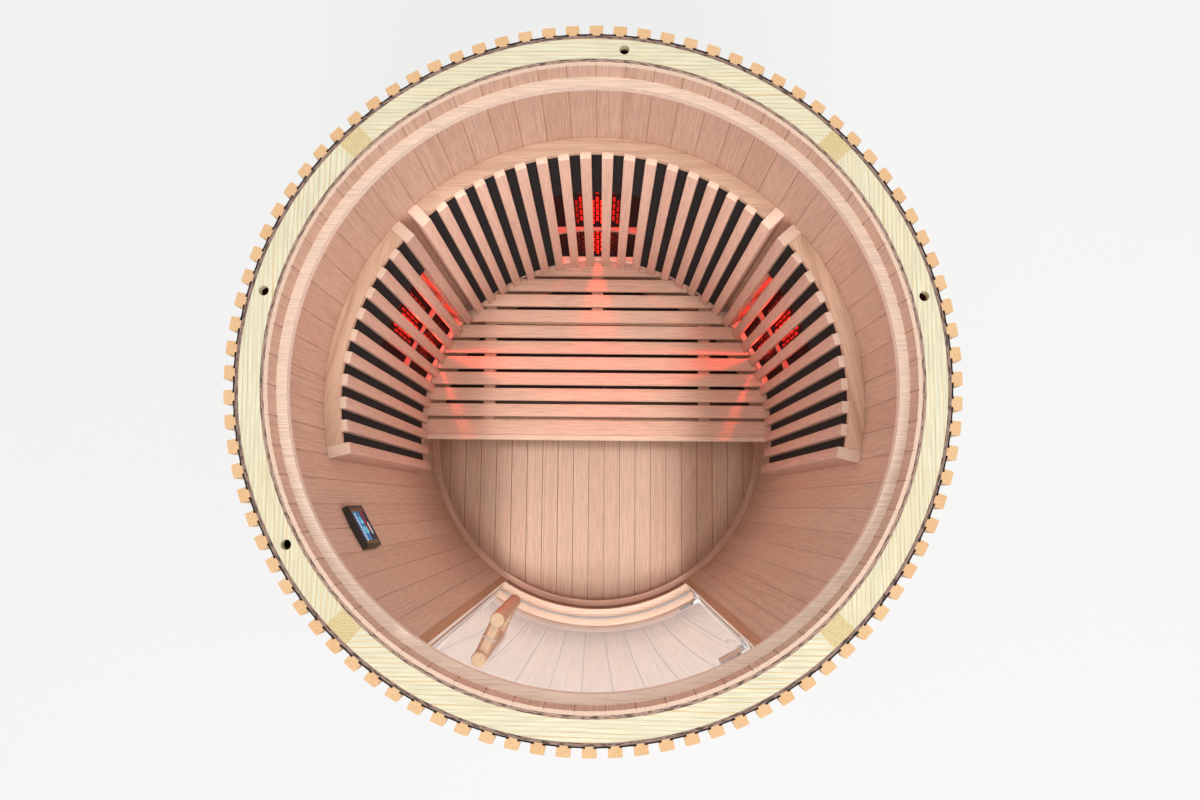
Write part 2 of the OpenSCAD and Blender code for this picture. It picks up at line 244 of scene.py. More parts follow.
@dataclass
class MeshMaker:
    """Collects boards into one mesh, with solid grain coordinates and a tone for each board.

    Attributes:
        name: Name of the piece.
        seed: Start of the piece's own random numbers.
    """

    name: str
    seed: int = 1
    points: list[Point] = field(default_factory=list)
    faces: list[tuple[int, ...]] = field(default_factory=list)
    grain: list[Point] = field(default_factory=list)
    tone: list[float] = field(default_factory=list)

    def __post_init__(self) -> None:
        """Starts the piece's own random numbers."""
        self.chance = random.Random(self.seed)

    def board(self, rings: Sequence[Ring], grain: Grain, tone: float | None = None) -> None:
        """Adds one board as a loft through rings of points.

        Args:
            rings: Loops with the same number of points, each along the board.
            grain: Gives a point's place across, along and through the timber.
            tone: The board's own tone from 0 to 1, or None for one by chance.
        """
        start = len(self.points)
        count = len(rings[0])
        shift = [self.chance.uniform(*cut) for cut in LOG_CUTS]
        by_chance = self.chance.random()
        for ring in rings:
            for p in ring:
                self.points.append(p)
                self.grain.append(tuple(g + by for g, by in zip(grain(p), shift)))
                self.tone.append(by_chance if tone is None else tone)
        for i in range(len(rings) - 1):
            a, b = start + i * count, start + (i + 1) * count
            for j in range(count):
                k = (j + 1) % count
                self.faces.append((a + j, a + k, b + k, b + j))
        last = start + (len(rings) - 1) * count
        self.faces.append(tuple(start + j for j in reversed(range(count))))
        self.faces.append(tuple(last + j for j in range(count)))

    def pierced_plate(
        self,
        xs: Sequence[float],
        zs: Sequence[float],
        holes: Callable[[float, float], bool],
        at: Callable[[float, float, float], Point],
        thickness: float,
    ) -> None:
        """Adds a flat plate with rectangular holes, as one closed shell on a grid.

        Args:
            xs: Places of the grid's lines across the plate, in order.
            zs: Places of the grid's lines up the plate, in order.
            holes: Whether the cell round a place is a hole.
            at: Turns a place across, up and through the plate into a point.
            thickness: Thickness of the plate.
        """
        numbers: dict[tuple[int, int, int], int] = {}

        def corner(i: int, j: int, side: int) -> int:
            """Returns the number of a grid point on a side of the plate, and adds it once.

            Args:
                i: Number of its line across.
                j: Number of its line up.
                side: 0 for the front and 1 for the back.

            Returns:
                Its number among the piece's points.
            """
            if (i, j, side) not in numbers:
                numbers[(i, j, side)] = len(self.points)
                self.points.append(at(xs[i], zs[j], side * thickness))
                self.grain.append((xs[i], zs[j], side * thickness))
                self.tone.append(0.5)
            return numbers[(i, j, side)]

        columns, rows = len(xs) - 1, len(zs) - 1
        middles = [(low + high) / 2 for low, high in zip(zs, zs[1:])]
        solid = [[not holes((low + high) / 2, z) for z in middles] for low, high in zip(xs, xs[1:])]
        for i in range(columns):
            for j in range(rows):
                if not solid[i][j]:
                    continue
                loop = ((i, j), (i + 1, j), (i + 1, j + 1), (i, j + 1))
                self.faces.append(tuple(corner(a, b, 0) for a, b in loop))
                self.faces.append(tuple(corner(a, b, 1) for a, b in reversed(loop)))
                beside = ((i, j - 1), (i + 1, j), (i, j + 1), (i - 1, j))
                for k, (a, b) in enumerate(beside):
                    if 0 <= a < columns and 0 <= b < rows and solid[a][b]:
                        continue
                    start, end = loop[k], loop[(k + 1) % 4]
                    edge = ((start, 0), (start, 1), (end, 1), (end, 0))
                    self.faces.append(tuple(corner(*place, layer) for place, layer in edge))

    def rod(
        self,
        foot: Vector,
        axis: Vector,
        length: float,
        radius: float,
        foot_dome: float,
        end_dome: float,
        sides: int = 40,
    ) -> None:
        """Adds one turned rod with eased ends.

        Args:
            foot: Middle of its first end.
            axis: Direction to its other end.
            length: Its length.
            radius: Its radius.
            foot_dome: How far the first end is rounded.
            end_dome: How far the other end is rounded.
            sides: Faces round it.
        """
        across = axis.orthogonal().normalized()
        beside = axis.cross(across)
        bends = [math.radians(a) for a in (0, 30, 60, 90)]
        dome = [(1 - math.cos(a), 1 - math.sin(a)) for a in bends]
        levels = [(foot_dome * along, radius - foot_dome * inward) for along, inward in dome]
        dome.reverse()
        levels += [(length - end_dome * along, radius - end_dome * inward) for along, inward in dome]
        turns = [2 * math.pi * k / sides for k in range(sides)]
        spokes = [(across, beside, math.cos(a), math.sin(a)) for a in turns]
        rings = []
        for along, r in levels:
            centre = foot + axis * along
            rings.append([tuple(centre + x * (r * c) + y * (r * s)) for x, y, c, s in spokes])

        def grain(p: Point) -> Point:
            """Returns a point's place across, along and through the rod."""
            offset = Vector(p) - foot
            return (offset.dot(across), offset.dot(axis), offset.dot(beside))

        self.board(rings, grain)

    def build(self, material: bpy.types.Material, smooth: float = 0.0) -> bpy.types.Object:
        """Makes the object.

        Args:
            material: Material of the whole piece.
            smooth: Edges flatter than this many degrees are shaded smooth. Zero keeps facets.

        Returns:
            The new object, linked into the scene.
        """
        mesh = bpy.data.meshes.new(self.name)
        mesh.from_pydata(self.points, [], self.faces)
        mesh.validate()
        put_attribute(mesh, "grain", "FLOAT_VECTOR", [c for g in self.grain for c in g], "vector")
        put_attribute(mesh, "tone", "FLOAT", self.tone, "value")
        made = new_object(self.name, mesh)
        mesh.materials.append(material)
        face_outwards(mesh)
        if smooth:
            smooth_below(made, smooth)
        return made


def new_object(name: str, data: bpy.types.ID) -> bpy.types.Object:
    """Makes an object and links it into the scene.

    Args:
        name: The object's name.
        data: Its mesh, camera or lamp.

    Returns:
        The object.
    """
    made = bpy.data.objects.new(name, data)
    bpy.context.scene.collection.objects.link(made)
    return made


def put_attribute(mesh: bpy.types.Mesh, name: str, kind: str, values: Sequence[float], slot: str) -> None:
    """Stores a value for each point of a mesh.

    Args:
        mesh: The mesh.
        name: Name of the attribute.
        kind: Blender's name for its type.
        values: The values, one point's after another's.
        slot: Blender's name for what they fill.
    """
    attribute = mesh.attributes.new(name, kind, "POINT")
    attribute.data.foreach_set(slot, values)


def face_outwards(mesh: bpy.types.Mesh) -> None:
    """Turns every face of closed shells outwards.

    Args:
        mesh: The mesh, which is changed.
    """
    work = bmesh.new()
    work.from_mesh(mesh)
    bmesh.ops.recalc_face_normals(work, faces=work.faces)
    work.to_mesh(mesh)
    work.free()


def smooth_below(piece: bpy.types.Object, degrees: float) -> None:
    """Shades a piece smooth, and keeps edges sharper than an angle crisp.

    Args:
        piece: The piece to shade.
        degrees: Edges flatter than this are shaded smooth.
    """
    mesh = piece.data
    mesh.polygons.foreach_set("use_smooth", [True] * len(mesh.polygons))
    mesh.set_sharp_from_angle(angle=math.radians(degrees))


def rounded_rectangle(w: float, h: float, radius: float, steps: int = 3) -> list[tuple[float, float]]:
    """Returns the outline of a rectangle with round corners, centred, anticlockwise.

    Args:
        w: Width.
        h: Height.
        radius: Radius of the corners.
        steps: Straight pieces in each corner.

    Returns:
        The outline's points.
    """
    outline = []
    for sx, sy, start in ((1, -1, -90), (1, 1, 0), (-1, 1, 90), (-1, -1, 180)):
        for i in range(steps + 1):
            a = math.radians(start + 90 * i / steps)
            x = sx * (w / 2 - radius) + radius * math.cos(a)
            y = sy * (h / 2 - radius) + radius * math.sin(a)
            outline.append((x, y))
    return outline


def upright_rings(e: Extent, radius: float, face_steps: int = 2) -> list[Ring]:
    """Returns the rings of an upright curved board with eased edges and ends.

    Args:
        e: The board's room.
        radius: How far its edges are eased.
        face_steps: Straight pieces across each face.

    Returns:
        The rings, from the bottom up.
    """
    def plan(by: float) -> list[tuple[float, float]]:
        """Returns the board's outline in plan.

        Args:
            by: How far it is drawn in.

        Returns:
            Pairs of a turn and a radius.
        """
        s = e.shrunk(by)
        ease = max(radius - by, LEAST_EASE)
        turn = arc_turn(ease, s.r0)
        bends = (0.0, math.radians(45))
        corner = [(arc_turn(ease * (1 - math.cos(a)), s.r0), ease * (1 - math.sin(a))) for a in bends]
        flat = s.t1 - s.t0 - 2 * turn
        face = [turn + flat * k / face_steps for k in range(face_steps + 1)]
        out = [(s.t0 + t, s.r0) for t in face]
        out += [(s.t1 - t, s.r0 + r) for t, r in reversed(corner)]
        out += [(s.t1 - t, s.r1 - r) for t, r in corner]
        out += [(s.t1 - t, s.r1) for t in face]
        out += [(s.t0 + t, s.r1 - r) for t, r in reversed(corner)]
        out += [(s.t0 + t, s.r0 + r) for t, r in corner]
        return out

    small = 0.3 * radius
    levels = [(e.z0, radius), (e.z0 + small, small), (e.z0 + radius, 0.0)]
    levels += [(e.z1 - radius, 0.0), (e.z1 - small, small), (e.z1, radius)]
    return [[polar(t, r, z) for t, r in plan(by)] for z, by in levels]


def bent_rings(e: Extent, radius: float, step: float = 2.0) -> list[Ring]:
    """Returns the rings of a level board that is curved in plan, with eased long edges.

    Args:
        e: The board's room.
        radius: How far its edges are eased.
        step: Turn between two rings.

    Returns:
        The rings, in the order of their turns.
    """
    count = max(2, round((e.t1 - e.t0) / step))
    section = rounded_rectangle(e.r1 - e.r0, e.z1 - e.z0, radius)
    mid_r, mid_z = (e.r0 + e.r1) / 2, (e.z0 + e.z1) / 2
    turns = [e.t0 + (e.t1 - e.t0) * i / count for i in range(count + 1)]
    return [[polar(t, mid_r + a, mid_z + b) for a, b in section] for t in turns]


# ---------------------------------------------------------------- shader helpers


def srgb(code: str) -> tuple[float, float, float, float]:
    """Returns a colour given as six hex digits in linear light.

    Args:
        code: Red, green and blue, with two digits each.

    Returns:
        Red, green, blue and an alpha of 1.
    """
    parts = [int(code[i : i + 2], 16) / 255 for i in (0, 2, 4)]
    red, green, blue = (c / 12.92 if c <= 0.04045 else ((c + 0.055) / 1.055) ** 2.4 for c in parts)
    return (red, green, blue, 1.0)


@dataclass
class Shader:
    """Adds nodes to a tree in few words.

    Attributes:
        tree: The node tree that is written to.
    """

    tree: bpy.types.NodeTree

    def feed(self, socket: Socket, value: object) -> None:
        """Links a socket to another one, or sets it to a plain value.

        Args:
            socket: The input to set.
            value: Another node's output, a number or a colour.
        """
        if isinstance(value, Socket):
            self.tree.links.new(value, socket)
        else:
            socket.default_value = value

    def node(self, kind: str, *values: object, **settings: object) -> bpy.types.Node:
        """Adds a node, sets its properties and feeds its first inputs.

        Args:
            kind: Blender's name for the node.
            values: What its first inputs take, in order.
            settings: Its properties.

        Returns:
            The node.
        """
        made = self.tree.nodes.new(kind)
        for name, setting in settings.items():
            setattr(made, name, setting)
        for socket, value in zip(made.inputs, values):
            self.feed(socket, value)
        return made

    def fill(self, node: bpy.types.Node, **values: object) -> bpy.types.Node:
        """Feeds a node's inputs by name, with _ for a space, and returns the node.

        Args:
            node: The node.
            values: What each named input takes.

        Returns:
            The same node.
        """
        for name, value in values.items():
            self.feed(node.inputs[name.replace("_", " ")], value)
        return node

    def math(self, operation: str, *values: object, clamp: bool = False) -> Socket:
        """Adds a Math node and returns its value."""
        return self.node("ShaderNodeMath", *values, operation=operation, use_clamp=clamp).outputs[0]

    def vector(self, operation: str, *values: object) -> Socket:
        """Adds a Vector Math node and returns its vector, or its value for a length."""
        made = self.node("ShaderNodeVectorMath", *values, operation=operation)
        return made.outputs["Value" if operation == "LENGTH" else "Vector"]

    def split(self, vector: Socket) -> tuple[Socket, ...]:
        """Returns the three parts of a vector."""
        return tuple(self.node("ShaderNodeSeparateXYZ", vector).outputs)

    def join(self, x: object, y: object, z: object) -> Socket:
        """Returns a vector made of three parts."""
        return self.node("ShaderNodeCombineXYZ", x, y, z).outputs[0]

    def place(self) -> Socket:
        """Returns a point's place on its piece."""
        return self.node("ShaderNodeTexCoord").outputs["Object"]

    def tone(self) -> Socket:
        """Returns the tone stored with each board."""
        return self.node("ShaderNodeAttribute", attribute_name="tone").outputs["Fac"]

    def noise(self, vector: object, scale: float, detail: float = 2.0, roughness: float = 0.5) -> Socket:
        """Adds a noise and returns its factor.

        Args:
            vector: Where the noise is read.
            scale: Its cells in a metre.
            detail: How many finer layers are added.
            roughness: How strong those are.

        Returns:
            The noise, from 0 to 1.
        """
        made = self.node("ShaderNodeTexNoise")
        self.fill(made, Vector=vector, Scale=scale, Detail=detail, Roughness=roughness)
        return made.outputs["Fac"]

    def share(self, value: object, start: float, end: float) -> Socket:
        """Returns how far a value has come from a start to an end, held between 0 and 1."""
        return self.math("DIVIDE", self.math("SUBTRACT", value, start), end - start, clamp=True)

    def mix(self, factor: object, a: object, b: object, blend: str = "MIX") -> Socket:
        """Mixes two colours and returns the result.

        Args:
            factor: Share of the second colour.
            a: The first colour.
            b: The second colour.
            blend: How they are mixed.

        Returns:
            The mixed colour.
        """
        made = self.node("ShaderNodeMix", data_type="RGBA", blend_type=blend)
        factor_socket, a_socket, b_socket, result = 0, 6, 7, 2
        for number, value in ((factor_socket, factor), (a_socket, a), (b_socket, b)):
            self.feed(made.inputs[number], value)
        return made.outputs[result]

    def ramp(self, value: object, stops: Sequence[tuple[float, float]]) -> Socket:
        """Maps a value through grey stops and returns the result.

        Args:
            value: The value to map.
            stops: Pairs of a place and the grey there.

        Returns:
            The grey.
        """
        made = self.node("ShaderNodeValToRGB", value)
        elements = made.color_ramp.elements
        while len(elements) < len(stops):
            elements.new(0.5)
        for element, (place, grey) in zip(elements, stops):
            element.position = place
            element.color = (grey, grey, grey, 1.0)
        return made.outputs[0]

    def group(self, tree: bpy.types.NodeTree, **values: object) -> bpy.types.NodeOutputs:
        """Places a node group, feeds its inputs and returns its outputs."""
        return self.fill(self.node("ShaderNodeGroup", node_tree=tree), **values).outputs


def new_group(
    name: str, numbers: dict[str, float], results: Sequence[str]
) -> tuple[Shader, bpy.types.NodeOutputs, bpy.types.Node]:
    """Starts a shader node group that takes a vector and some numbers and gives other numbers.

    Args:
        name: The group's name.
        numbers: Name and default of each number that it takes.
        results: Name of each number that it gives.

    Returns:
        The writer for its tree, the sockets of what it is given and its output node.
    """
    tree = bpy.data.node_groups.new(name, "ShaderNodeTree")
    tree.interface.new_socket("Vector", in_out="INPUT", socket_type="NodeSocketVector")
    for label, default in numbers.items():
        socket = tree.interface.new_socket(label, in_out="INPUT", socket_type="NodeSocketFloat")
        socket.default_value = default
    for label in results:
        tree.interface.new_socket(label, in_out="OUTPUT", socket_type="NodeSocketFloat")
    return Shader(tree), tree.nodes.new("NodeGroupInput").outputs, tree.nodes.new("NodeGroupOutput")


# How each part of timber's figure is stretched along the grain, and its cells in a metre.
DRIFT_STRETCH, DRIFT_CELLS = (1.0, 0.22, 1.0), 7.0
FIBRE_STRETCH, FIBRE_CELLS = (1.0, 0.03, 1.0), 420.0
CLOUD_STRETCH, CLOUD_CELLS = (1.0, 0.18, 1.0), 9.0
# How fast strong and faint years follow each other, and how far they differ.
YEARS_PACE, YEARS_GAIN, YEARS_OFFSET = 0.45, 1.5, -0.15
# Where the chance numbers of the copies round the circle start.
CHANCE_START = 7.31


def timber_group() -> bpy.types.NodeTree:
    """Builds the solid figure of sawn timber: growth rings round a pith that runs along Y.

    Returns:
        A group with the outputs Rings, Fibre and Cloud, each from 0 to 1.
    """
    numbers = {"Ring Width": 0.006, "Waver": 0.01, "Sharpness": 2.2}
    s, given, out = new_group("Timber Figure", numbers, ("Rings", "Fibre", "Cloud"))
    place = given["Vector"]
    slow = s.noise(s.vector("MULTIPLY", place, DRIFT_STRETCH), DRIFT_CELLS)
    x, _, z = s.split(place)
    reach = s.vector("LENGTH", s.join(x, 0.0, z))
    bend = s.math("MULTIPLY", s.math("SUBTRACT", slow, 0.5), given["Waver"])
    phase = s.math("DIVIDE", s.math("ADD", reach, bend), given["Ring Width"])
    wave = s.math("MULTIPLY_ADD", s.math("SINE", s.math("MULTIPLY", phase, 2 * math.pi)), 0.5, 0.5)
    line = s.math("POWER", wave, given["Sharpness"])
    years = s.node("ShaderNodeTexNoise", noise_dimensions="1D")
    s.fill(years, W=s.math("MULTIPLY", phase, YEARS_PACE), Detail=1.0)
    strength = s.math("MULTIPLY_ADD", years.outputs["Fac"], YEARS_GAIN, YEARS_OFFSET, clamp=True)
    fibre = s.noise(s.vector("MULTIPLY", place, FIBRE_STRETCH), FIBRE_CELLS, roughness=0.6)
    cloud = s.noise(s.vector("MULTIPLY", place, CLOUD_STRETCH), CLOUD_CELLS)
    s.fill(out, Rings=s.math("MULTIPLY", line, strength), Fibre=fibre, Cloud=cloud)
    return s.tree


def wrap_group() -> bpy.types.NodeTree:
    """Builds coordinates that run round the cabin.

    Returns:
        A group that gives the Arc length at a Radius, the Radial distance and the Height. Where
        a number of Copies share the circle, it gives a Chance number for each and the place
        Across it.
    """
    numbers = {"Radius": 0.7, "Copies": 12.0}
    results = ("Arc", "Radial", "Height", "Chance", "Across")
    s, given, out = new_group("Round The Cabin", numbers, results)
    x, y, z = s.split(given["Vector"])
    radius, copies = given["Radius"], given["Copies"]
    angle = s.math("ARCTAN2", x, s.math("MULTIPLY", y, -1.0))
    share = s.math("DIVIDE", s.math("MULTIPLY", angle, copies), 2 * math.pi)
    index = s.math("ROUND", share)
    chance = s.node("ShaderNodeTexWhiteNoise", noise_dimensions="1D")
    s.fill(chance, W=s.math("ADD", index, CHANCE_START))
    step = s.math("DIVIDE", s.math("MULTIPLY", radius, 2 * math.pi), copies)
    across = s.math("MULTIPLY", s.math("SUBTRACT", share, index), step)
    radial = s.vector("LENGTH", s.join(x, y, 0.0))
    s.fill(out, Arc=s.math("MULTIPLY", angle, radius), Radial=radial, Height=z)
    s.fill(out, Chance=chance.outputs["Value"], Across=across)
    return s.tree


def new_material(name: str) -> tuple[bpy.types.Material, Shader, bpy.types.Node]:
    """Starts a material with one Principled BSDF.

    Args:
        name: The material's name.

    Returns:
        The material, the writer for its tree and the Principled BSDF.
    """
    made = bpy.data.materials.new(name)
    made.use_nodes = True
    made.node_tree.nodes.clear()
    s = Shader(made.node_tree)
    surface = s.node("ShaderNodeBsdfPrincipled")
    s.node("ShaderNodeOutputMaterial", surface.outputs[0])
    return made, s, surface


def add_bump(s: Shader, surface: bpy.types.Node, height: object, strength: float, distance: float) -> None:
    """Feeds a height into a surface's normal through a Bump node."""
    bump = s.fill(s.node("ShaderNodeBump"), Strength=strength, Distance=distance, Height=height)
    s.fill(surface, Normal=bump.outputs[0])


@dataclass
class Groups:
    """The shader node groups that several materials share."""

    timber: bpy.types.NodeTree = field(default_factory=timber_group)
    wrap: bpy.types.NodeTree = field(default_factory=wrap_group)


@dataclass(frozen=True)
class Finish:
    """What a surface is made of, as one material.

    Attributes:
        name: Name of the material.
    """

    name: str

    def material(self, groups: Groups) -> bpy.types.Material:
        """Builds the material.

        Args:
            groups: The shared node groups.

        Returns:
            The material.
        """
        made, s, surface = new_material(self.name)
        self.paint(s, surface, groups)
        return made

    def paint(self, s: Shader, surface: bpy.types.Node, groups: Groups) -> None:
        """Feeds the inputs of the material's surface."""
        raise NotImplementedError


class Lay(Enum):
    """How a timber's grain lies."""

    BOARD = "the coordinates stored in the piece"
    ALONG_X = "left to right"
    ALONG_Y = "front to back"
    UPRIGHT = "upright, one copy of the timber after another round the circle"
    ROUND = "round the circle"


# Where the pith of the logs lies beside, above or behind the boards that share one figure.
PITH_ASIDE = 0.2
PITH_UP = 1.7
PITH_BEHIND = 0.05
# How far upright copies differ in their place across and along the log.
COPY_SHIFT = 0.06
COPY_LIFT = 31.0
# How much clouds and a board's tone move its colour, and the rise of upward and level faces.
CLOUD_STRENGTH = 1.2
WARM_SHARE = 0.75
UPWARD = 0.8
LEVEL = 0.9
# Which fibres show, how much the ring lines polish and stand out, and the relief of them all.
FIBRES_FROM, FIBRES_TO = 0.30, 0.62
RING_POLISH, RING_RELIEF = -0.1, 0.6
RELIEF, RELIEF_DEPTH = 0.25, 0.6 * MM


@dataclass(frozen=True)
class TimberFinish(Finish):
    """A sawn and sanded timber.

    Attributes:
        light: Colour of the early wood.
        dark: Colour of the ring lines.
        warm: Colour that some boards lean to.
        lay: How the grain lies.
        ring: Width of one year's growth.
        waver: How far the rings wander.
        ring_strength: How much the ring lines show.
        fibre_strength: How much the fine fibres show.
        roughness: Roughness of the sanded face.
        copies: Timbers round the circle, where they share one.
        radius: Radius at which the grain is true, where it runs round.
        sharpness: How thin the ring lines are. Higher is thinner.
        sawn: Colour of the early wood on upward faces, where it differs.
        groove: Colour down in the joints of level boards.
        shade: Colour of the shadow painted on level boards under the bench.
        shade_span: Places from front to back where that starts and is complete.
        edge: Colour that multiplies level boards round the foot of the wall, as painted shade there.
        edge_span: Distances from the middle where that starts and is complete.
    """

    light: str
    dark: str
    warm: str
    lay: Lay = Lay.BOARD
    ring: float = 0.0034
    waver: float = 0.02
    ring_strength: float = 0.5
    fibre_strength: float = 0.12
    roughness: float = 0.55
    copies: int = 12
    radius: float = 0.7
    sharpness: float = 2.2
    sawn: str | None = None
    groove: str | None = None
    shade: str | None = None
    shade_span: Span = (0.0, 0.17)
    edge: str | None = None
    edge_span: Span = (0.558, 0.626)

    def coordinates(self, s: Shader, groups: Groups) -> tuple[Socket, Socket]:
        """Returns the grain coordinates and the number that sets a board's own tone.

        Args:
            s: The writer for the material's tree.
            groups: The shared node groups.

        Returns:
            A vector with the grain along Y, and a number from 0 to 1.
        """
        if self.lay is Lay.BOARD:
            return s.node("ShaderNodeAttribute", attribute_name="grain").outputs["Vector"], s.tone()
        place = s.place()
        wrap = s.group(groups.wrap, Vector=place, Radius=self.radius, Copies=float(self.copies))
        x, y, z = s.split(place)
        chance = wrap["Chance"]
        if self.lay in (Lay.ALONG_X, Lay.ALONG_Y):
            along, across = (x, y) if self.lay is Lay.ALONG_X else (y, x)
            depth = s.math("SUBTRACT", z, PITH_UP)
            return s.join(s.math("ADD", across, PITH_ASIDE), along, depth), chance
        if self.lay is Lay.ROUND:
            return s.join(s.math("SUBTRACT", wrap["Radial"], self.radius), wrap["Arc"], z), chance
        depth = s.math("SUBTRACT", wrap["Radial"], self.radius - PITH_BEHIND)
        sideways = s.math("MULTIPLY_ADD", chance, COPY_SHIFT, wrap["Across"])
        height = s.math("MULTIPLY_ADD", chance, COPY_LIFT, wrap["Height"])
        return s.join(sideways, height, depth), chance

    def painted_floor_shade(self, s: Shader, colour: Socket) -> Socket:
        """Returns the colour with painted shade: a shadow under the bench and a darkening round the foot of
        the wall.

        Args:
            s: The writer for the material's tree.
            colour: The colour so far.

        Returns:
            The changed colour.
        """
        x, y, _ = s.split(s.place())
        # Painted shadow under the bench.
        if self.shade:
            colour = s.mix(s.share(y, *self.shade_span), colour, srgb(self.shade))
        # Painted shade round the foot of the wall.
        if self.edge:
            away = s.vector("LENGTH", s.join(x, y, 0.0))
            colour = s.mix(s.share(away, *self.edge_span), colour, srgb(self.edge), "MULTIPLY")
        return colour

    def paint(self, s: Shader, surface: bpy.types.Node, groups: Groups) -> None:
        """Feeds the inputs of the material's surface.

        Args:
            s: The writer for the material's tree.
            surface: The material's Principled BSDF.
            groups: The shared node groups.
        """
        grain, tone = self.coordinates(s, groups)
        figure = s.group(
            groups.timber, Vector=grain, Ring_Width=self.ring, Waver=self.waver, Sharpness=self.sharpness
        )
        cloud = s.math("SUBTRACT", figure["Cloud"], 0.5)
        lean = s.math("MULTIPLY_ADD", cloud, CLOUD_STRENGTH, tone, clamp=True)
        base = s.mix(s.math("MULTIPLY", lean, WARM_SHARE), srgb(self.light), srgb(self.warm))
        up = s.split(s.node("ShaderNodeNewGeometry").outputs["True Normal"])[2]
        if self.sawn:
            base = s.mix(s.math("GREATER_THAN", up, UPWARD), base, srgb(self.sawn))
        ringed = s.mix(s.math("MULTIPLY", figure["Rings"], self.ring_strength), base, srgb(self.dark))
        fibres = s.ramp(figure["Fibre"], [(FIBRES_FROM, 1.0 - self.fibre_strength * 2), (FIBRES_TO, 1.0)])
        colour = s.mix(1.0, ringed, fibres, "MULTIPLY")
        if self.groove:
            colour = s.mix(s.math("GREATER_THAN", up, LEVEL), srgb(self.groove), colour)
        # Painted shade on the floor: a shadow under the bench and a darkening round the foot of the wall.
        if self.shade or self.edge:
            colour = self.painted_floor_shade(s, colour)
        rough = s.math("MULTIPLY_ADD", figure["Rings"], RING_POLISH, self.roughness)
        s.fill(surface, Base_Color=colour, Roughness=rough)
        height = s.math("ADD", figure["Fibre"], s.math("MULTIPLY", figure["Rings"], RING_RELIEF))
        add_bump(s, surface, height, RELIEF, RELIEF_DEPTH)


@dataclass(frozen=True)
class PlyFinish(Finish):
    """The cut edge of plywood, dark and mottled.

    Attributes:
        light: Colour of the lighter plies.
        dark: Colour of the darker patches.
        patches: Cells of the patches in a metre, along the edge and through it.
        patch_stops: Where on the noise the patches start and are complete.
        plies: Pace of the plies through the sheet, in radians in a metre.
        ply_share: How much the plies darken it.
        patch_share: How much the patches darken it.
        relief: Strength and depth of the plies' relief.
        roughness: Roughness of the cut.
    """

    light: str
    dark: str
    patches: Span = (55.0, 260.0)
    patch_stops: Span = (0.50, 0.58)
    plies: float = 2700.0
    ply_share: float = 0.35
    patch_share: float = 0.75
    relief: Span = (0.3, 0.5 * MM)
    roughness: float = 0.8

    def paint(self, s: Shader, surface: bpy.types.Node, groups: Groups) -> None:
        """Feeds the inputs of the material's surface.

        Args:
            s: The writer for the material's tree.
            surface: The material's Principled BSDF.
            groups: The shared node groups.
        """
        wrap = s.group(groups.wrap, Vector=s.place())
        arc, radial = (s.math("MULTIPLY", wrap[n], c) for n, c in zip(("Arc", "Radial"), self.patches))
        noise = s.noise(s.join(arc, radial, wrap["Height"]), 1.0)
        patches = s.ramp(noise, list(zip(self.patch_stops, (0.0, 1.0))))
        wave = s.math("SINE", s.math("MULTIPLY", wrap["Radial"], self.plies))
        plies = s.math("MULTIPLY_ADD", wave, 0.5, 0.5)
        patched = s.math("MULTIPLY", patches, self.patch_share)
        dark = s.math("MULTIPLY_ADD", plies, self.ply_share, patched, clamp=True)
        colour = s.mix(dark, srgb(self.light), srgb(self.dark))
        s.fill(surface, Base_Color=colour, Roughness=self.roughness)
        add_bump(s, surface, plies, *self.relief)


@dataclass(frozen=True)
class PlainFinish(Finish):
    """A plain coloured surface with a fine grain: metal, rubber, moulded plastic.

    Attributes:
        colour: Main colour.
        other: Colour of its cloudy parts.
        roughness: Mean roughness.
        metallic: 1 for bare metal.
        grain: Size of the fine texture's cells, as cells in a metre.
        bump: Depth of the fine texture.
        stretch: Stretches the texture along Z, as brushing does.
        specular: Strength of its sheen.
        clouds: Cells of the cloudy parts in a metre.
        uneven: How much the fine texture changes the roughness.
        relief: Strength of the fine texture's relief.
    """

    colour: str
    other: str
    roughness: float = 0.5
    metallic: float = 0.0
    grain: float = 900.0
    bump: float = 0.0002
    stretch: float = 1.0
    specular: float = 0.5
    clouds: float = 14.0
    uneven: float = 0.16
    relief: float = 0.35

    def paint(self, s: Shader, surface: bpy.types.Node, groups: Groups) -> None:
        """Feeds the inputs of the material's surface.

        Args:
            s: The writer for the material's tree.
            surface: The material's Principled BSDF.
            groups: The shared node groups.
        """
        place = s.place()
        fine = s.noise(s.vector("MULTIPLY", place, (1.0, 1.0, self.stretch)), self.grain)
        colour = s.mix(s.noise(place, self.clouds, 3.0), srgb(self.colour), srgb(self.other))
        rough = s.math("MULTIPLY_ADD", s.math("SUBTRACT", fine, 0.5), self.uneven, self.roughness)
        s.fill(surface, Base_Color=colour, Roughness=rough, Metallic=self.metallic)
        s.fill(surface, Specular_IOR_Level=self.specular)
        add_bump(s, surface, fine, self.relief, self.bump)


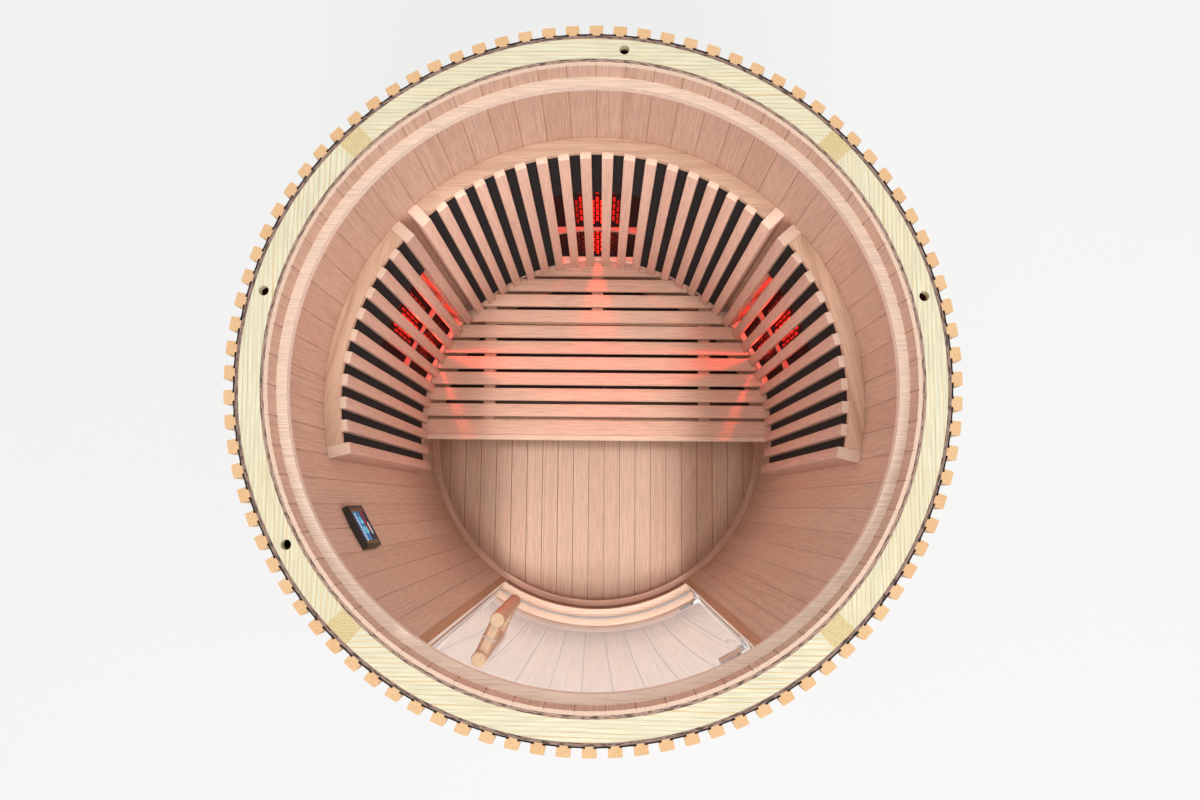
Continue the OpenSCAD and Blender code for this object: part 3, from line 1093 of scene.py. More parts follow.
@dataclass(frozen=True)
class GlassFinish(Finish):
    """Clear toughened glass that lets lamp light through.

    Attributes:
        tint: Colour of the glass.
        ior: How strongly it bends light.
        smear: Roughness of its smeary places.
        streaks: How these are stretched.
        cells: Size of them, as cells in a metre.
    """

    tint: str
    ior: float = 1.45
    smear: float = 0.03
    streaks: Point = (1.0, 1.0, 0.3)
    cells: float = 6.0

    def paint(self, s: Shader, surface: bpy.types.Node, groups: Groups) -> None:
        """Feeds the inputs of the material's surface.

        Args:
            s: The writer for the material's tree.
            surface: The material's Principled BSDF.
            groups: The shared node groups.
        """
        smears = s.noise(s.vector("MULTIPLY", s.place(), self.streaks), self.cells, 3.0)
        s.fill(surface, Base_Color=srgb(self.tint), Metallic=0.0, Transmission_Weight=1.0, IOR=self.ior)
        s.fill(surface, Roughness=s.math("MULTIPLY", smears, self.smear))
        through = s.node("ShaderNodeBsdfTransparent")
        path = s.node("ShaderNodeLightPath").outputs
        either = s.math("MAXIMUM", path["Is Shadow Ray"], path["Is Diffuse Ray"])
        blend = s.node("ShaderNodeMixShader", either, surface.outputs[0], through.outputs[0])
        out = next(n for n in s.tree.nodes if n.bl_idname == "ShaderNodeOutputMaterial")
        s.fill(out, Surface=blend.outputs[0])


@dataclass(frozen=True)
class GlowFinish(Finish):
    """A surface that gives off light, as bright as each board's tone, with dimmer patches.

    Attributes:
        colour: Colour of the light.
        body: Colour of the surface under it.
        strength: Brightness of the light.
        low: Share of the brightness that the dimmest places keep.
        stops: Where on the noise a place is dimmest and brightest.
        cells: Size of the bright places, as cells in a metre.
        by_tone: Whether a board's tone dims its light.
        roughness: Roughness of the surface.
        specular: Strength of its sheen.
    """

    colour: str
    body: str
    strength: float
    low: float = 0.2
    stops: Span = (0.38, 0.58)
    cells: float = 60.0
    by_tone: bool = False
    roughness: float = 0.4
    specular: float = 0.15

    def paint(self, s: Shader, surface: bpy.types.Node, groups: Groups) -> None:
        """Feeds the inputs of the material's surface.

        Args:
            s: The writer for the material's tree.
            surface: The material's Principled BSDF.
            groups: The shared node groups.
        """
        patch = s.ramp(s.noise(s.place(), self.cells), list(zip(self.stops, (self.low, 1.0))))
        if self.by_tone:
            patch = s.mix(1.0, patch, s.tone(), "MULTIPLY")
        light = s.mix(1.0, srgb(self.colour), patch, "MULTIPLY")
        s.fill(surface, Base_Color=srgb(self.body), Emission_Color=light, Emission_Strength=self.strength)
        s.fill(surface, Roughness=self.roughness, Specular_IOR_Level=self.specular)


# ---------------------------------------------------------------- finishes of this cabin

LINING = TimberFinish(
    "hemlock_lining", "E5C0A9", "BB8D76", "DBB29B", ring=0.0032, waver=0.008, sawn="F3D2BA"
)
# The flooring's shade and edge colours are painted shade: a shadow under the bench and a darkening round
# the foot of the wall.
FLOORING = TimberFinish(
    "hemlock_flooring", "E8C6AC", "BB9178", "DFB99E", waver=0.007, ring_strength=0.45,
    groove="8C6450", shade="1E1512", edge="D8CAC7",
)
BENCH = TimberFinish("hemlock_bench", "E6C0A8", "BC907A", "DEB49C", waver=0.008, ring_strength=0.4)
NOSING = TimberFinish("hemlock_nosing", "EBCBB2", "C8A088", "E4C0A8", waver=0.008, ring_strength=0.3)
BEARER = TimberFinish(
    "hemlock_bearer", "CDA48C", "A87E68", "C49A82", Lay.ALONG_Y, ring=0.0036, ring_strength=0.4
)
BACKREST = TimberFinish(
    "hemlock_backrest", "E2BAA6", "BA8E7A", "D9AE9B", waver=0.008, ring_strength=0.35, sawn="F6DAC4"
)
BOX = TimberFinish(
    "hemlock_box", "CC9F8B", "95695A", "C29480", Lay.ALONG_X, ring=0.0036, waver=0.01, ring_strength=0.6
)
CAP = TimberFinish("hemlock_cap", "E9C5AA", "C0947A", "E0BA9E", ring=0.005, waver=0.006, ring_strength=0.55)
LEDGE = TimberFinish(
    "hemlock_ledge", "FFE9D8", "D2A58C", "F8DCC8", Lay.ALONG_X, ring=0.003, waver=0.006, sawn="F8E0CC"
)
SKIRTING = TimberFinish(
    "hemlock_skirting", "E4BAA2", "BC907A", "DAAE96", Lay.ROUND, ring=0.004, radius=0.65
)
JAMB = TimberFinish(
    "hemlock_jamb", "D29C78", "A05C34", "C69270", Lay.UPRIGHT, copies=10, radius=0.69, ring=0.008,
    sharpness=4.0,
)
# The sill and the header over the door are hemlock painted paler than the rest, as painted light from
# outside the door.
SILL_PAINTED_LIGHT = TimberFinish(
    "hemlock_sill_painted_light", "FFDFC6", "DDB296", "FAD3B4", Lay.ALONG_X, waver=0.006, ring_strength=0.45
)
BATTEN = TimberFinish(
    "larch_batten", "F2C999", "CC9462", "EBBB88", Lay.UPRIGHT, copies=92, radius=0.74, ring=0.0036,
    waver=0.008, fibre_strength=0.1,
)
PINE_ACROSS = TimberFinish(
    "pine_plate_across", "EEE8CB", "DFAA58", "EAE1BF", Lay.ALONG_X, ring=0.008, waver=0.03,
    ring_strength=0.9, sharpness=7.0,
)
PINE_DEEP = replace(PINE_ACROSS, name="pine_plate_deep", lay=Lay.ALONG_Y)
PINE_POST = TimberFinish(
    "pine_post", "E6D2A0", "C9A562", "DEC590", Lay.UPRIGHT, copies=8, ring=0.006, ring_strength=0.6
)
PINE_BASE = TimberFinish("pine_base", "E0C596", "C09A60", "D8B884", Lay.ROUND, ring=0.009, radius=0.66)
HANDLE = TimberFinish(
    "handle_beech", "DFAC8E", "BB8364", "D5A082", ring=0.004, waver=0.01, ring_strength=0.35, sawn="F4D4B0"
)
PLY_OUTER = PlyFinish("ply_edge_outer", "A5877A", "463832")
PLY_INNER = PlyFinish("ply_edge_inner", "BC9A88", "5A4640")
STRIP = PlainFinish("gap_strip_rubber", "0E0E0F", "151516", roughness=0.8)
HEATER_FELT = PlainFinish(
    "heater_panel_black", "2A2A2B", "343435", roughness=0.85, grain=1400.0, bump=0.0004, specular=0.15
)
GUARD = PlainFinish("guard_plate_black", "191415", "221C1D", roughness=0.6, specular=0.06)
STEEL = PlainFinish(
    "brushed_steel", "E4E6E8", "D2D5D8", roughness=0.24, metallic=1.0, stretch=0.05, bump=0.00005
)
# The steel hinge brackets are painted white, standing in for the reflection of bright surroundings on their
# steel.
BRACKET_PAINTED_GLINT = PlainFinish("bracket_painted_reflection", "FFFFFF", "F2F4F4", roughness=0.35)
WASHER = PlainFinish("nylon_washer", "EBDCCB", "E2D2C0", roughness=0.45)
SCREW = PlainFinish("black_screw", "2A2522", "3A322C", roughness=0.5, metallic=0.4)
SEAL = PlainFinish("clear_seal", "F6ECE4", "EEE2DA", roughness=0.35)
REVEAL = PlainFinish("reveal_strip_pale", "FCE9DD", "F4DDCF", roughness=0.4)
SWEEP = PlainFinish("sweep_vinyl", "C6CED2", "B8C0C6", roughness=0.3)
BEZEL = PlainFinish("bezel_black", "26241F", "302C26", roughness=0.45, bump=0.0004)
SCREEN = PlainFinish("screen_surround", "6E5640", "7C624A", roughness=0.6)
GLASS = GlassFinish("door_glass_clear", "FFF9F6")
TUBE_GLOW = GlowFinish("heater_tube_red", "FF1006", "300604", 2.6, low=0.4, cells=50.0, by_tone=True)
EMITTER_DULL = GlowFinish("heater_body_dull_red", "701010", "140A0B", 0.05, low=0.3, cells=25.0)
DISPLAY_BLUE = GlowFinish("display_blue", "2C84C4", "040A12", 0.75, low=0.5, by_tone=True)
DISPLAY_CYAN = GlowFinish("display_cyan", "74E4EE", "040A12", 0.9, low=0.9)
DISPLAY_WHITE = GlowFinish("display_white", "F2FAFF", "101418", 1.0, low=0.85)
DISPLAY_RED = GlowFinish("display_red", "E01C16", "100404", 0.9, low=0.9)


@dataclass
class Finishes:
    """Makes each finish's material once, when it is first asked for."""

    groups: Groups = field(default_factory=Groups)
    made: dict[str, bpy.types.Material] = field(default_factory=dict)

    def of(self, finish: Finish) -> bpy.types.Material:
        """Returns a finish's material.

        Args:
            finish: The finish.

        Returns:
            Its material, which is the same one each time.
        """
        if finish.name not in self.made:
            self.made[finish.name] = finish.material(self.groups)
        return self.made[finish.name]

    def dress(self, finish: Finish, *nodes: str) -> None:
        """Gives CAD nodes a finish.

        Args:
            finish: The finish.
            nodes: Names of the nodes.
        """
        for name in nodes:
            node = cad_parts[name]
            if not node.material_slots:
                node.data.materials.append(self.of(finish))
            for slot in node.material_slots:
                slot.material = self.of(finish)
            LOG.info("dressed %s in %s", name, finish.name)


# ---------------------------------------------------------------- sub-assemblies


@dataclass
class SubAssembly:
    """A part of the cabin that builds its pieces and dresses them.

    Attributes:
        finishes: Source of the materials.
    """

    finishes: Finishes

    def place(
        self,
        made: MeshMaker,
        finish: Finish,
        slot: str,
        *stands_for: str,
        smooth: float = 0.0,
        body: str = "cabin",
    ) -> None:
        """Builds a piece, lets it ride on a body and hides the nodes that it stands for.

        Args:
            made: The piece's boards.
            finish: Finish of the whole piece.
            slot: The record's slot that the finish belongs to. Not used.
            stands_for: Nodes that the piece replaces.
            smooth: Edges flatter than this many degrees are shaded smooth.
            body: The body that it rides on.
        """
        piece = made.build(self.finishes.of(finish), smooth)
        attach(piece, body)
        if stands_for:
            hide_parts(*stands_for)
        LOG.info("built %s with %d faces", piece.name, len(piece.data.polygons))


@dataclass
class WallShell(SubAssembly):
    """Battens, skins, pine plates, posts and the ledge under the roof's seat."""

    def build(self) -> None:
        """Dresses every node of the shell."""
        dress = self.finishes.dress
        dress(BATTEN, "battens")
        dress(STRIP, "gap_strips")
        for side in ("back", "left", "right", "front"):
            dress(PLY_OUTER, f"outer_skin_{side}")
            dress(PLY_INNER, f"inner_skin_{side}")
        dress(PINE_ACROSS, "top_plate_back", "top_plate_front")
        dress(PINE_DEEP, "top_plate_left", "top_plate_right")
        dress(PINE_POST, "corner_posts")
        dress(LEDGE, "ceiling_ledge")


@dataclass
class WallLining(SubAssembly):
    """Tongue and groove boards round the inside of the wall.

    Attributes:
        pitch: Turn from one board to the next.
        groove: Depth of the V between two boards.
    """

    pitch: float = 5.4
    groove: float = 1.8 * MM

    def build(self) -> None:
        """Builds the boards beside the door and those over it."""
        made = MeshMaker("lining_boards", seed=11)
        hoop = extents_in("wall_boards")[0]
        door = extents_in("door_header")[0]
        beside = Extent(door.t1, door.t0 + 360.0, hoop.r0, hoop.r1, hoop.z0, hoop.z1)
        over = Extent(door.t0, door.t1, hoop.r0, hoop.r1, door.z1, hoop.z1)
        for room in (beside, over):
            count = round((room.t1 - room.t0) / self.pitch)
            step = (room.t1 - room.t0) / count
            for i in range(count):
                self.board(made, room, room.t0 + i * step, room.t0 + (i + 1) * step)
        self.place(made, LINING, "hemlock", "wall_boards", smooth=20)

    def board(self, made: MeshMaker, room: Extent, t0: float, t1: float) -> None:
        """Adds one upright board with a bevel down each edge.

        Args:
            made: The piece that takes the board.
            room: Room of the whole run of boards.
            t0: Turn of the board's first edge.
            t1: Turn of its last edge.
        """
        bevel = arc_turn(self.groove, room.r0)
        hair = arc_turn(HAIR, room.r0)
        middle = (t0 + t1) / 2
        face = [t0 + bevel + (t1 - t0 - 2 * bevel) * k / 3 for k in range(4)]
        low, high = t0 + hair, t1 - hair
        deep = room.r0 + self.groove
        plan = [(low, deep), *((t, room.r0) for t in face), (high, deep)]
        plan += [(high, room.r1), (middle, room.r1), (low, room.r1)]

        def grain(p: Point) -> Point:
            """Returns a point's place across, along and through the board."""
            turn = (turn_of(p[0], p[1]) - middle + 180.0) % 360.0 - 180.0
            return (math.radians(turn) * room.r0, p[2], math.hypot(p[0], p[1]) - room.r0)

        rings = [[polar(t, r, z) for t, r in plan] for z in (room.z0, (room.z0 + room.z1) / 2, room.z1)]
        made.board(rings, grain)


@dataclass
class Floor(SubAssembly):
    """The deck of planks, its skirting and what carries it.

    Attributes:
        pitch: Distance from one plank to the next.
        groove: Depth of the V between two planks.
    """

    pitch: float = 62.5 * MM
    groove: float = 1.0 * MM

    def build(self) -> None:
        """Builds the planks and dresses the rest."""
        low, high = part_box("floor_deck")
        radius = high.x
        made = MeshMaker("floor_planks", seed=23)
        half = math.ceil(radius / self.pitch)
        for i in range(-half, half + 1):
            x0, x1 = (i - 0.5) * self.pitch, (i + 0.5) * self.pitch
            x0, x1 = max(x0, -radius + MM), min(x1, radius - MM)
            if x1 - x0 > 4 * self.groove:
                self.plank(made, x0, x1, low.z, high.z, radius)
        self.place(made, FLOORING, "floor_board", "floor_deck")
        self.finishes.dress(SKIRTING, "floor_skirting")
        self.finishes.dress(PINE_BASE, "base_ring", "floor_bearers")

    def plank(self, made: MeshMaker, x0: float, x1: float, z0: float, z1: float, radius: float) -> None:
        """Adds one plank that runs front to back and ends on the circle.

        Args:
            made: The piece that takes it.
            x0: Left edge.
            x1: Right edge.
            z0: Bottom.
            z1: Top.
            radius: Radius of the circle.
        """
        g = self.groove
        face = [x0 + g + (x1 - x0 - 2 * g) * k / 4 for k in range(5)]
        low, high = x0 + HAIR, x1 - HAIR
        profile = [(low, z1 - g), *((x, z1) for x in face), (high, z1 - g), (high, z0), (low, z0)]
        profile.reverse()

        def at(x: float, side: float, z: float) -> Point:
            """Returns the point where the plank ends on one side of the circle."""
            return (x, side * math.sqrt(max(radius * radius - x * x, 0.0)), z)

        middle = (x0 + x1) / 2
        rings = [[at(x, -1, z) for x, z in profile], [at(x, 1, z) for x, z in profile]]
        made.board(rings, lambda p: (p[0] - middle, p[1], z1 - p[2]))


@dataclass
class Bench(SubAssembly):
    """Seat slats that run across the cabin, and the beams under them.

    Attributes:
        ease: Radius of the slats' edges.
        nosing: Width of the lipping along the front slat.
        joint: Gap between the lipping and its slat.
    """

    ease: float = 2.5 * MM
    nosing: float = 18.0 * MM
    joint: float = 0.1 * MM

    def build(self) -> None:
        """Builds the slats and the front lipping, and dresses the beams."""
        slats = MeshMaker("seat_slats", seed=37)
        lipping = MeshMaker("seat_nosing", seed=38)
        solids = solids_of("bench_slats")
        front = min(p.y for solid in solids for p in solid)
        for solid in solids:
            y0, y1 = span(p.y for p in solid)
            z0, z1 = span(p.z for p in solid)
            radius = max(math.hypot(p.x, p.y) for p in solid)
            if y0 < front + MM:
                self.slat(lipping, y0, y0 + self.nosing, z0, z1, radius)
                y0 += self.nosing + self.joint
            self.slat(slats, y0, y1, z0, z1, radius)
        self.place(slats, BENCH, "hemlock", "bench_slats", smooth=35)
        self.place(lipping, NOSING, "hemlock", "bench_slats", smooth=35)
        self.finishes.dress(BEARER, "bench_bearers")
        self.finishes.dress(LEDGE, "bench_cleat")

    def slat(self, made: MeshMaker, y0: float, y1: float, z0: float, z1: float, radius: float) -> None:
        """Adds one slat whose ends follow the wall.

        Args:
            made: The piece that takes it.
            y0: Front edge.
            y1: Back edge.
            z0: Bottom.
            z1: Top.
            radius: Radius of the circle that the ends follow.
        """
        mid_y, mid_z = (y0 + y1) / 2, (z0 + z1) / 2
        section = rounded_rectangle(y1 - y0, z1 - z0, self.ease)

        def at(side: float, a: float, b: float) -> Point:
            """Returns the point where the slat ends on one side of the circle."""
            y = mid_y + a
            return (side * math.sqrt(radius * radius - y * y), y, mid_z + b)

        rings = [[at(side, a, b) for a, b in section] for side in (-1, 1)]
        made.board(rings, lambda p: (p[1] - mid_y, p[0], p[2] - mid_z))


@dataclass
class Backrests(SubAssembly):
    """Three curved backrests of upright slats between end boards.

    Attributes:
        ease: Radius of the edges.
        end_turn: Turn that every end board stays under, and every bent board is over.
        pith: Distance of the bent boards' log from the cabin's axis.
        drawn: How far the rings of the bent boards are drawn out upwards, as a share.
    """

    ease: float = 1.2 * MM
    end_turn: float = 10.0
    pith: float = 0.6
    drawn: float = 0.3

    def build(self) -> None:
        """Builds slats, end boards, caps and foot boards."""
        for side in SIDES:
            slats = MeshMaker(f"back_slats_{side}", seed=40 + len(side))
            for e in extents_in(f"backrest_slats_{side}"):
                slats.board(upright_rings(e, self.ease), self.upright_grain(e))
            self.place(slats, BACKREST, "hemlock", f"backrest_slats_{side}", smooth=35)
            self.frame(side)

    def frame(self, side: str) -> None:
        """Builds one backrest's end boards, cap and foot board.

        Args:
            side: Which backrest.
        """
        node = f"backrest_frame_{side}"
        ends = MeshMaker(f"back_frame_{side}", seed=60 + len(side))
        bent = MeshMaker(f"back_cap_{side}", seed=64 + len(side))
        parts = extents_in(node)
        middle = (min(e.t0 for e in parts) + max(e.t1 for e in parts)) / 2
        top = max(e.z1 for e in parts)
        for e in parts:
            if e.t1 - e.t0 < self.end_turn:
                ends.board(upright_rings(e, self.ease), self.upright_grain(e))
            else:
                made = ends if e.z1 < top - MM else bent
                made.board(bent_rings(e, self.ease), self.chord_grain(middle))
        self.place(ends, BACKREST, "hemlock", node, smooth=35)
        self.place(bent, CAP, "hemlock", node, smooth=35)

    @staticmethod
    def upright_grain(e: Extent) -> Grain:
        """Returns grain that runs up a board."""
        c, s = math.cos(math.radians(e.middle)), math.sin(math.radians(e.middle))
        return lambda p: (p[0] * c + p[1] * s, p[2], p[0] * s - p[1] * c - e.r0)

    def chord_grain(self, turn: float) -> Grain:
        """Returns straight grain that runs along a backrest's chord."""
        c, s = math.cos(math.radians(turn)), math.sin(math.radians(turn))
        return lambda p: (p[0] * s - p[1] * c - self.pith, p[0] * c + p[1] * s, p[2] * self.drawn)


@dataclass
class Heaters(SubAssembly):
    """Black heater panels behind the slats, and the emitters in their open boxes.

    Attributes:
        pitch: Distance between two columns of slots in a guard.
        slot_w: Width of a slot.
        slot_h: Height of a slot.
        row: Distance between two slots in a column.
        slotted: Width of the guard's slotted middle.
        hole_pitch: Distance between two holes of the row above the slots.
        hole: Width and height of such a hole.
        rim: Plain height above the holes and under the slots.
        stand_off: Distance from the emitter's face to the guard's back.
        plate: Thickness of the guard.
        tube_w: Width of a glowing tube.
        fade: How much fainter an upper emitter's tubes are at its edge.
        low_fade: The same for a lower emitter.
        faintest: Least glow of a lower emitter's tube.
        even: Share of the width in the middle where all tubes are as bright.
        flicker: Span by which the glow of the others differs.
    """

    pitch: float = 12.5 * MM
    slot_w: float = 7.4 * MM
    slot_h: float = 50.0 * MM
    row: float = 60.0 * MM
    slotted: float = 162.5 * MM
    hole_pitch: float = 23.0 * MM
    hole: tuple[float, float] = (10.0 * MM, 24.0 * MM)
    rim: float = 12.0 * MM
    stand_off: float = 7.0 * MM
    plate: float = 1.2 * MM
    tube_w: float = 8.0 * MM
    fade: float = 0.85
    low_fade: float = 3.4
    faintest: float = 0.03
    even: float = 0.2
    flicker: Span = (0.35, 1.0)

    def build(self) -> None:
        """Dresses the panels and boxes and fits out each emitter."""
        self.finishes.dress(HEATER_FELT, "heater_panels")
        self.finishes.dress(BOX, "emitter_boxes")
        self.finishes.dress(EMITTER_DULL, "emitters")
        tubes = MeshMaker("emitter_tubes", seed=71)
        guards = MeshMaker("emitter_guards", seed=72)
        faces = flat_faces("emitters")
        for face in faces:
            upper = face.z0 > min(f.z0 for f in faces) + self.row
            self.add_guard(guards, face, upper)
            self.add_tubes(tubes, face, upper)
        self.place(tubes, TUBE_GLOW, "emitter_red", smooth=50)
        self.place(guards, GUARD, "emitter_red")

    def columns(self, pitch: float) -> list[float]:
        """Returns the places of the columns of slots or holes across a face."""
        count = round(self.slotted / pitch)
        return [(i - (count - 1) / 2) * pitch for i in range(count)]

    def add_guard(self, made: MeshMaker, face: FlatFace, upper: bool) -> None:
        """Adds one guard with staggered slots, and a row of holes at the top of an upper one.

        Args:
            made: The piece that takes it.
            face: The emitter's face.
            upper: Whether it is an upper emitter.
        """
        edge = face.half - 2 * MM
        top = face.z1 - self.rim
        holes: list[tuple[float, float, float, float]] = []
        if upper:
            for x in self.columns(self.hole_pitch):
                holes.append((x - self.hole[0] / 2, x + self.hole[0] / 2, top - self.hole[1], top))
            top -= self.hole[1] + 2 * self.rim
        for i, x in enumerate(self.columns(self.pitch)):
            high = top - (self.row / 2 if i % 2 else 0.0)
            while high - self.slot_h > face.z0 + self.rim:
                holes.append((x - self.slot_w / 2, x + self.slot_w / 2, high - self.slot_h, high))
                high -= self.row

        def lines(places: Iterable[float]) -> list[float]:
            """Returns places in order, each one once."""
            return sorted({round(v, 6) for v in places})

        xs = lines([-edge, edge] + [v for h in holes for v in h[:2]])
        zs = lines([face.z0 + MM, face.z1 - MM] + [v for h in holes for v in h[2:]])
        made.pierced_plate(
            xs, zs, lambda x, z: any(h[0] < x < h[1] and h[2] < z < h[3] for h in holes),
            lambda x, z, depth: face.point(x, z, self.stand_off + depth), self.plate,
        )

    def add_tubes(self, made: MeshMaker, face: FlatFace, upper: bool) -> None:
        """Adds the glowing tubes behind one guard, brightest in the middle of the face.

        Args:
            made: The piece that takes them.
            face: The emitter's face.
            upper: Whether it is an upper emitter.
        """
        loop = [(math.cos(k * math.pi / 3) / 2, math.sin(k * math.pi / 3) / 4) for k in range(6)]
        reach = self.slotted / 2
        middle = self.stand_off / 2
        for x in self.columns(self.pitch):
            aside = abs(x) / reach
            tone = 1.0 - self.fade * aside if upper else max(self.faintest, 1.0 - self.low_fade * aside)
            tone *= 1.0 if aside < self.even else made.chance.uniform(*self.flicker)
            rings = [
                [face.point(x + a * self.tube_w, z, middle + b * self.tube_w) for a, b in loop]
                for z in (face.z0 + self.rim, face.z1 - self.rim / 2)
            ]
            made.board(rings, lambda p: p, tone)


@dataclass
class Doorway(SubAssembly):
    """Sill, jambs, header, seals and the fixed halves of the hinges.

    Attributes:
        strip_t: Thickness of the pale strip down each jamb's reveal.
        strip_in: How far the strip starts behind the jamb's face.
        strip_w: Width of the strip.
        screw_r: Radius of the screws' heads in the hinge brackets.
        screw_h: How far the heads stand proud.
        screw_across: Where the screws are, as shares of the bracket's width.
        screw_up: Where they are, as shares of its height.
        screw_sides: Faces round a screw's head.
        ease: How far the edges of strips and screws are eased.
        near: How far a bracket's corner points may lie from its edge.
    """

    strip_t: float = 1.5 * MM
    strip_in: float = 2.0 * MM
    strip_w: float = 17.0 * MM
    screw_r: float = 4.5 * MM
    screw_h: float = 0.8 * MM
    screw_across: Span = (0.14, 0.86)
    screw_up: Span = (0.12, 0.88)
    screw_sides: int = 20
    ease: float = 0.4 * MM
    near: float = 3.0 * MM

    def build(self) -> None:
        """Dresses every node of the doorway and lines the reveals."""
        dress = self.finishes.dress
        # The sill and header take hemlock painted paler, as painted light from outside the door.
        dress(SILL_PAINTED_LIGHT, "door_sill", "door_header")
        dress(JAMB, "door_jambs")
        dress(SEAL, "jamb_seals")
        # White on the steel hinge brackets is a painted reflection.
        dress(BRACKET_PAINTED_GLINT, "hinge_brackets")
        strips = MeshMaker("reveal_strips", seed=91)
        for e in extents_in("door_jambs"):
            on_low_side = e.middle > 180.0
            edge = e.t1 if on_low_side else e.t0
            into = arc_turn(self.strip_t, e.r0) * (1 if on_low_side else -1)
            r0 = e.r0 + self.strip_in
            room = Extent(*span((edge, edge + into)), r0, r0 + self.strip_w, e.z0, e.z1)
            strips.board(upright_rings(room, self.ease), lambda p: p)
        self.place(strips, REVEAL, "clear_seal")
        screws = MeshMaker("bracket_screws", seed=93)
        for solid in solids_of("hinge_brackets"):
            self.add_screws(screws, solid)
        self.place(screws, SCREW, "steel", smooth=40)

    def add_screws(self, made: MeshMaker, solid: list[Vector]) -> None:
        """Adds the four screws that hold one bracket's plate to the jamb.

        Args:
            made: The piece that takes them.
            solid: The bracket's corner points.
        """
        radii = [math.hypot(p.x, p.y) for p in solid]
        ends = []
        for limit in span(radii):
            there = [p for p, r in zip(solid, radii) if abs(r - limit) < self.near]
            corner = min(there, key=lambda p: turn_of(p.x, p.y))
            ends.append(Vector((corner.x, corner.y, 0)))
        z0, z1 = span(p.z for p in solid)
        out = (ends[1] - ends[0]).normalized().cross(UP)
        if out.x > 0:
            out = -out
        for across in self.screw_across:
            for up in self.screw_up:
                foot = ends[0].lerp(ends[1], across) + UP * (z0 + (z1 - z0) * up)
                made.rod(foot, out, self.screw_h, self.screw_r, 0.0, self.ease, self.screw_sides)


@dataclass
class DoorLeaf(SubAssembly):
    """The curved glass leaf with its handles, hinges and sweep.

    Attributes:
        dome: How far the ends of the handle bars are rounded.
        spacer_domes: The same for a spacer's two ends.
    """

    dome: float = 4.0 * MM
    spacer_domes: Span = (0.5 * MM, 1.5 * MM)

    def build(self) -> None:
        """Dresses the leaf and turns its handles."""
        dress = self.finishes.dress
        dress(GLASS, "door_glass")
        dress(WASHER, "handle_standoffs")
        dress(STEEL, "door_hinges")
        dress(SWEEP, "door_sweep")
        handles = MeshMaker("handle_bars", seed=81)
        for solid in solids_of("door_handles"):
            self.handle(handles, solid)
        self.place(handles, HANDLE, "handle_wood", "door_handles", smooth=40, body="door")

    def handle(self, made: MeshMaker, solid: list[Vector]) -> None:
        """Adds one turned bar with rounded ends, and the two round spacers that carry it.

        Args:
            made: The piece that takes them.
            solid: Corner points of the bar with its spacers.
        """
        z0, z1 = span(p.z for p in solid)
        end = [p for p in solid if p.z > z1 - MM]
        centre = Vector((sum(span(p.x for p in end)) / 2, sum(span(p.y for p in end)) / 2, 0))
        radius = max(math.hypot(p.x - centre.x, p.y - centre.y) for p in end)
        made.rod(centre + UP * z0, UP, z1 - z0, radius, self.dome, self.dome)
        outward = centre.normalized()
        middle = (z0 + z1) / 2
        for low, high in ((z0 + MM, middle), (middle, z1 - MM)):
            points = [p for p in solid if low < p.z < high]
            bottom, top = span(p.z for p in points)
            far = max(points, key=lambda p: math.hypot(p.x - centre.x, p.y - centre.y))
            reach = (Vector((far.x, far.y, 0)) - centre).dot(outward)
            axis = outward if reach > 0 else -outward
            foot = centre + UP * ((bottom + top) / 2)
            made.rod(foot, axis, abs(reach), (top - bottom) / 2, *self.spacer_domes)


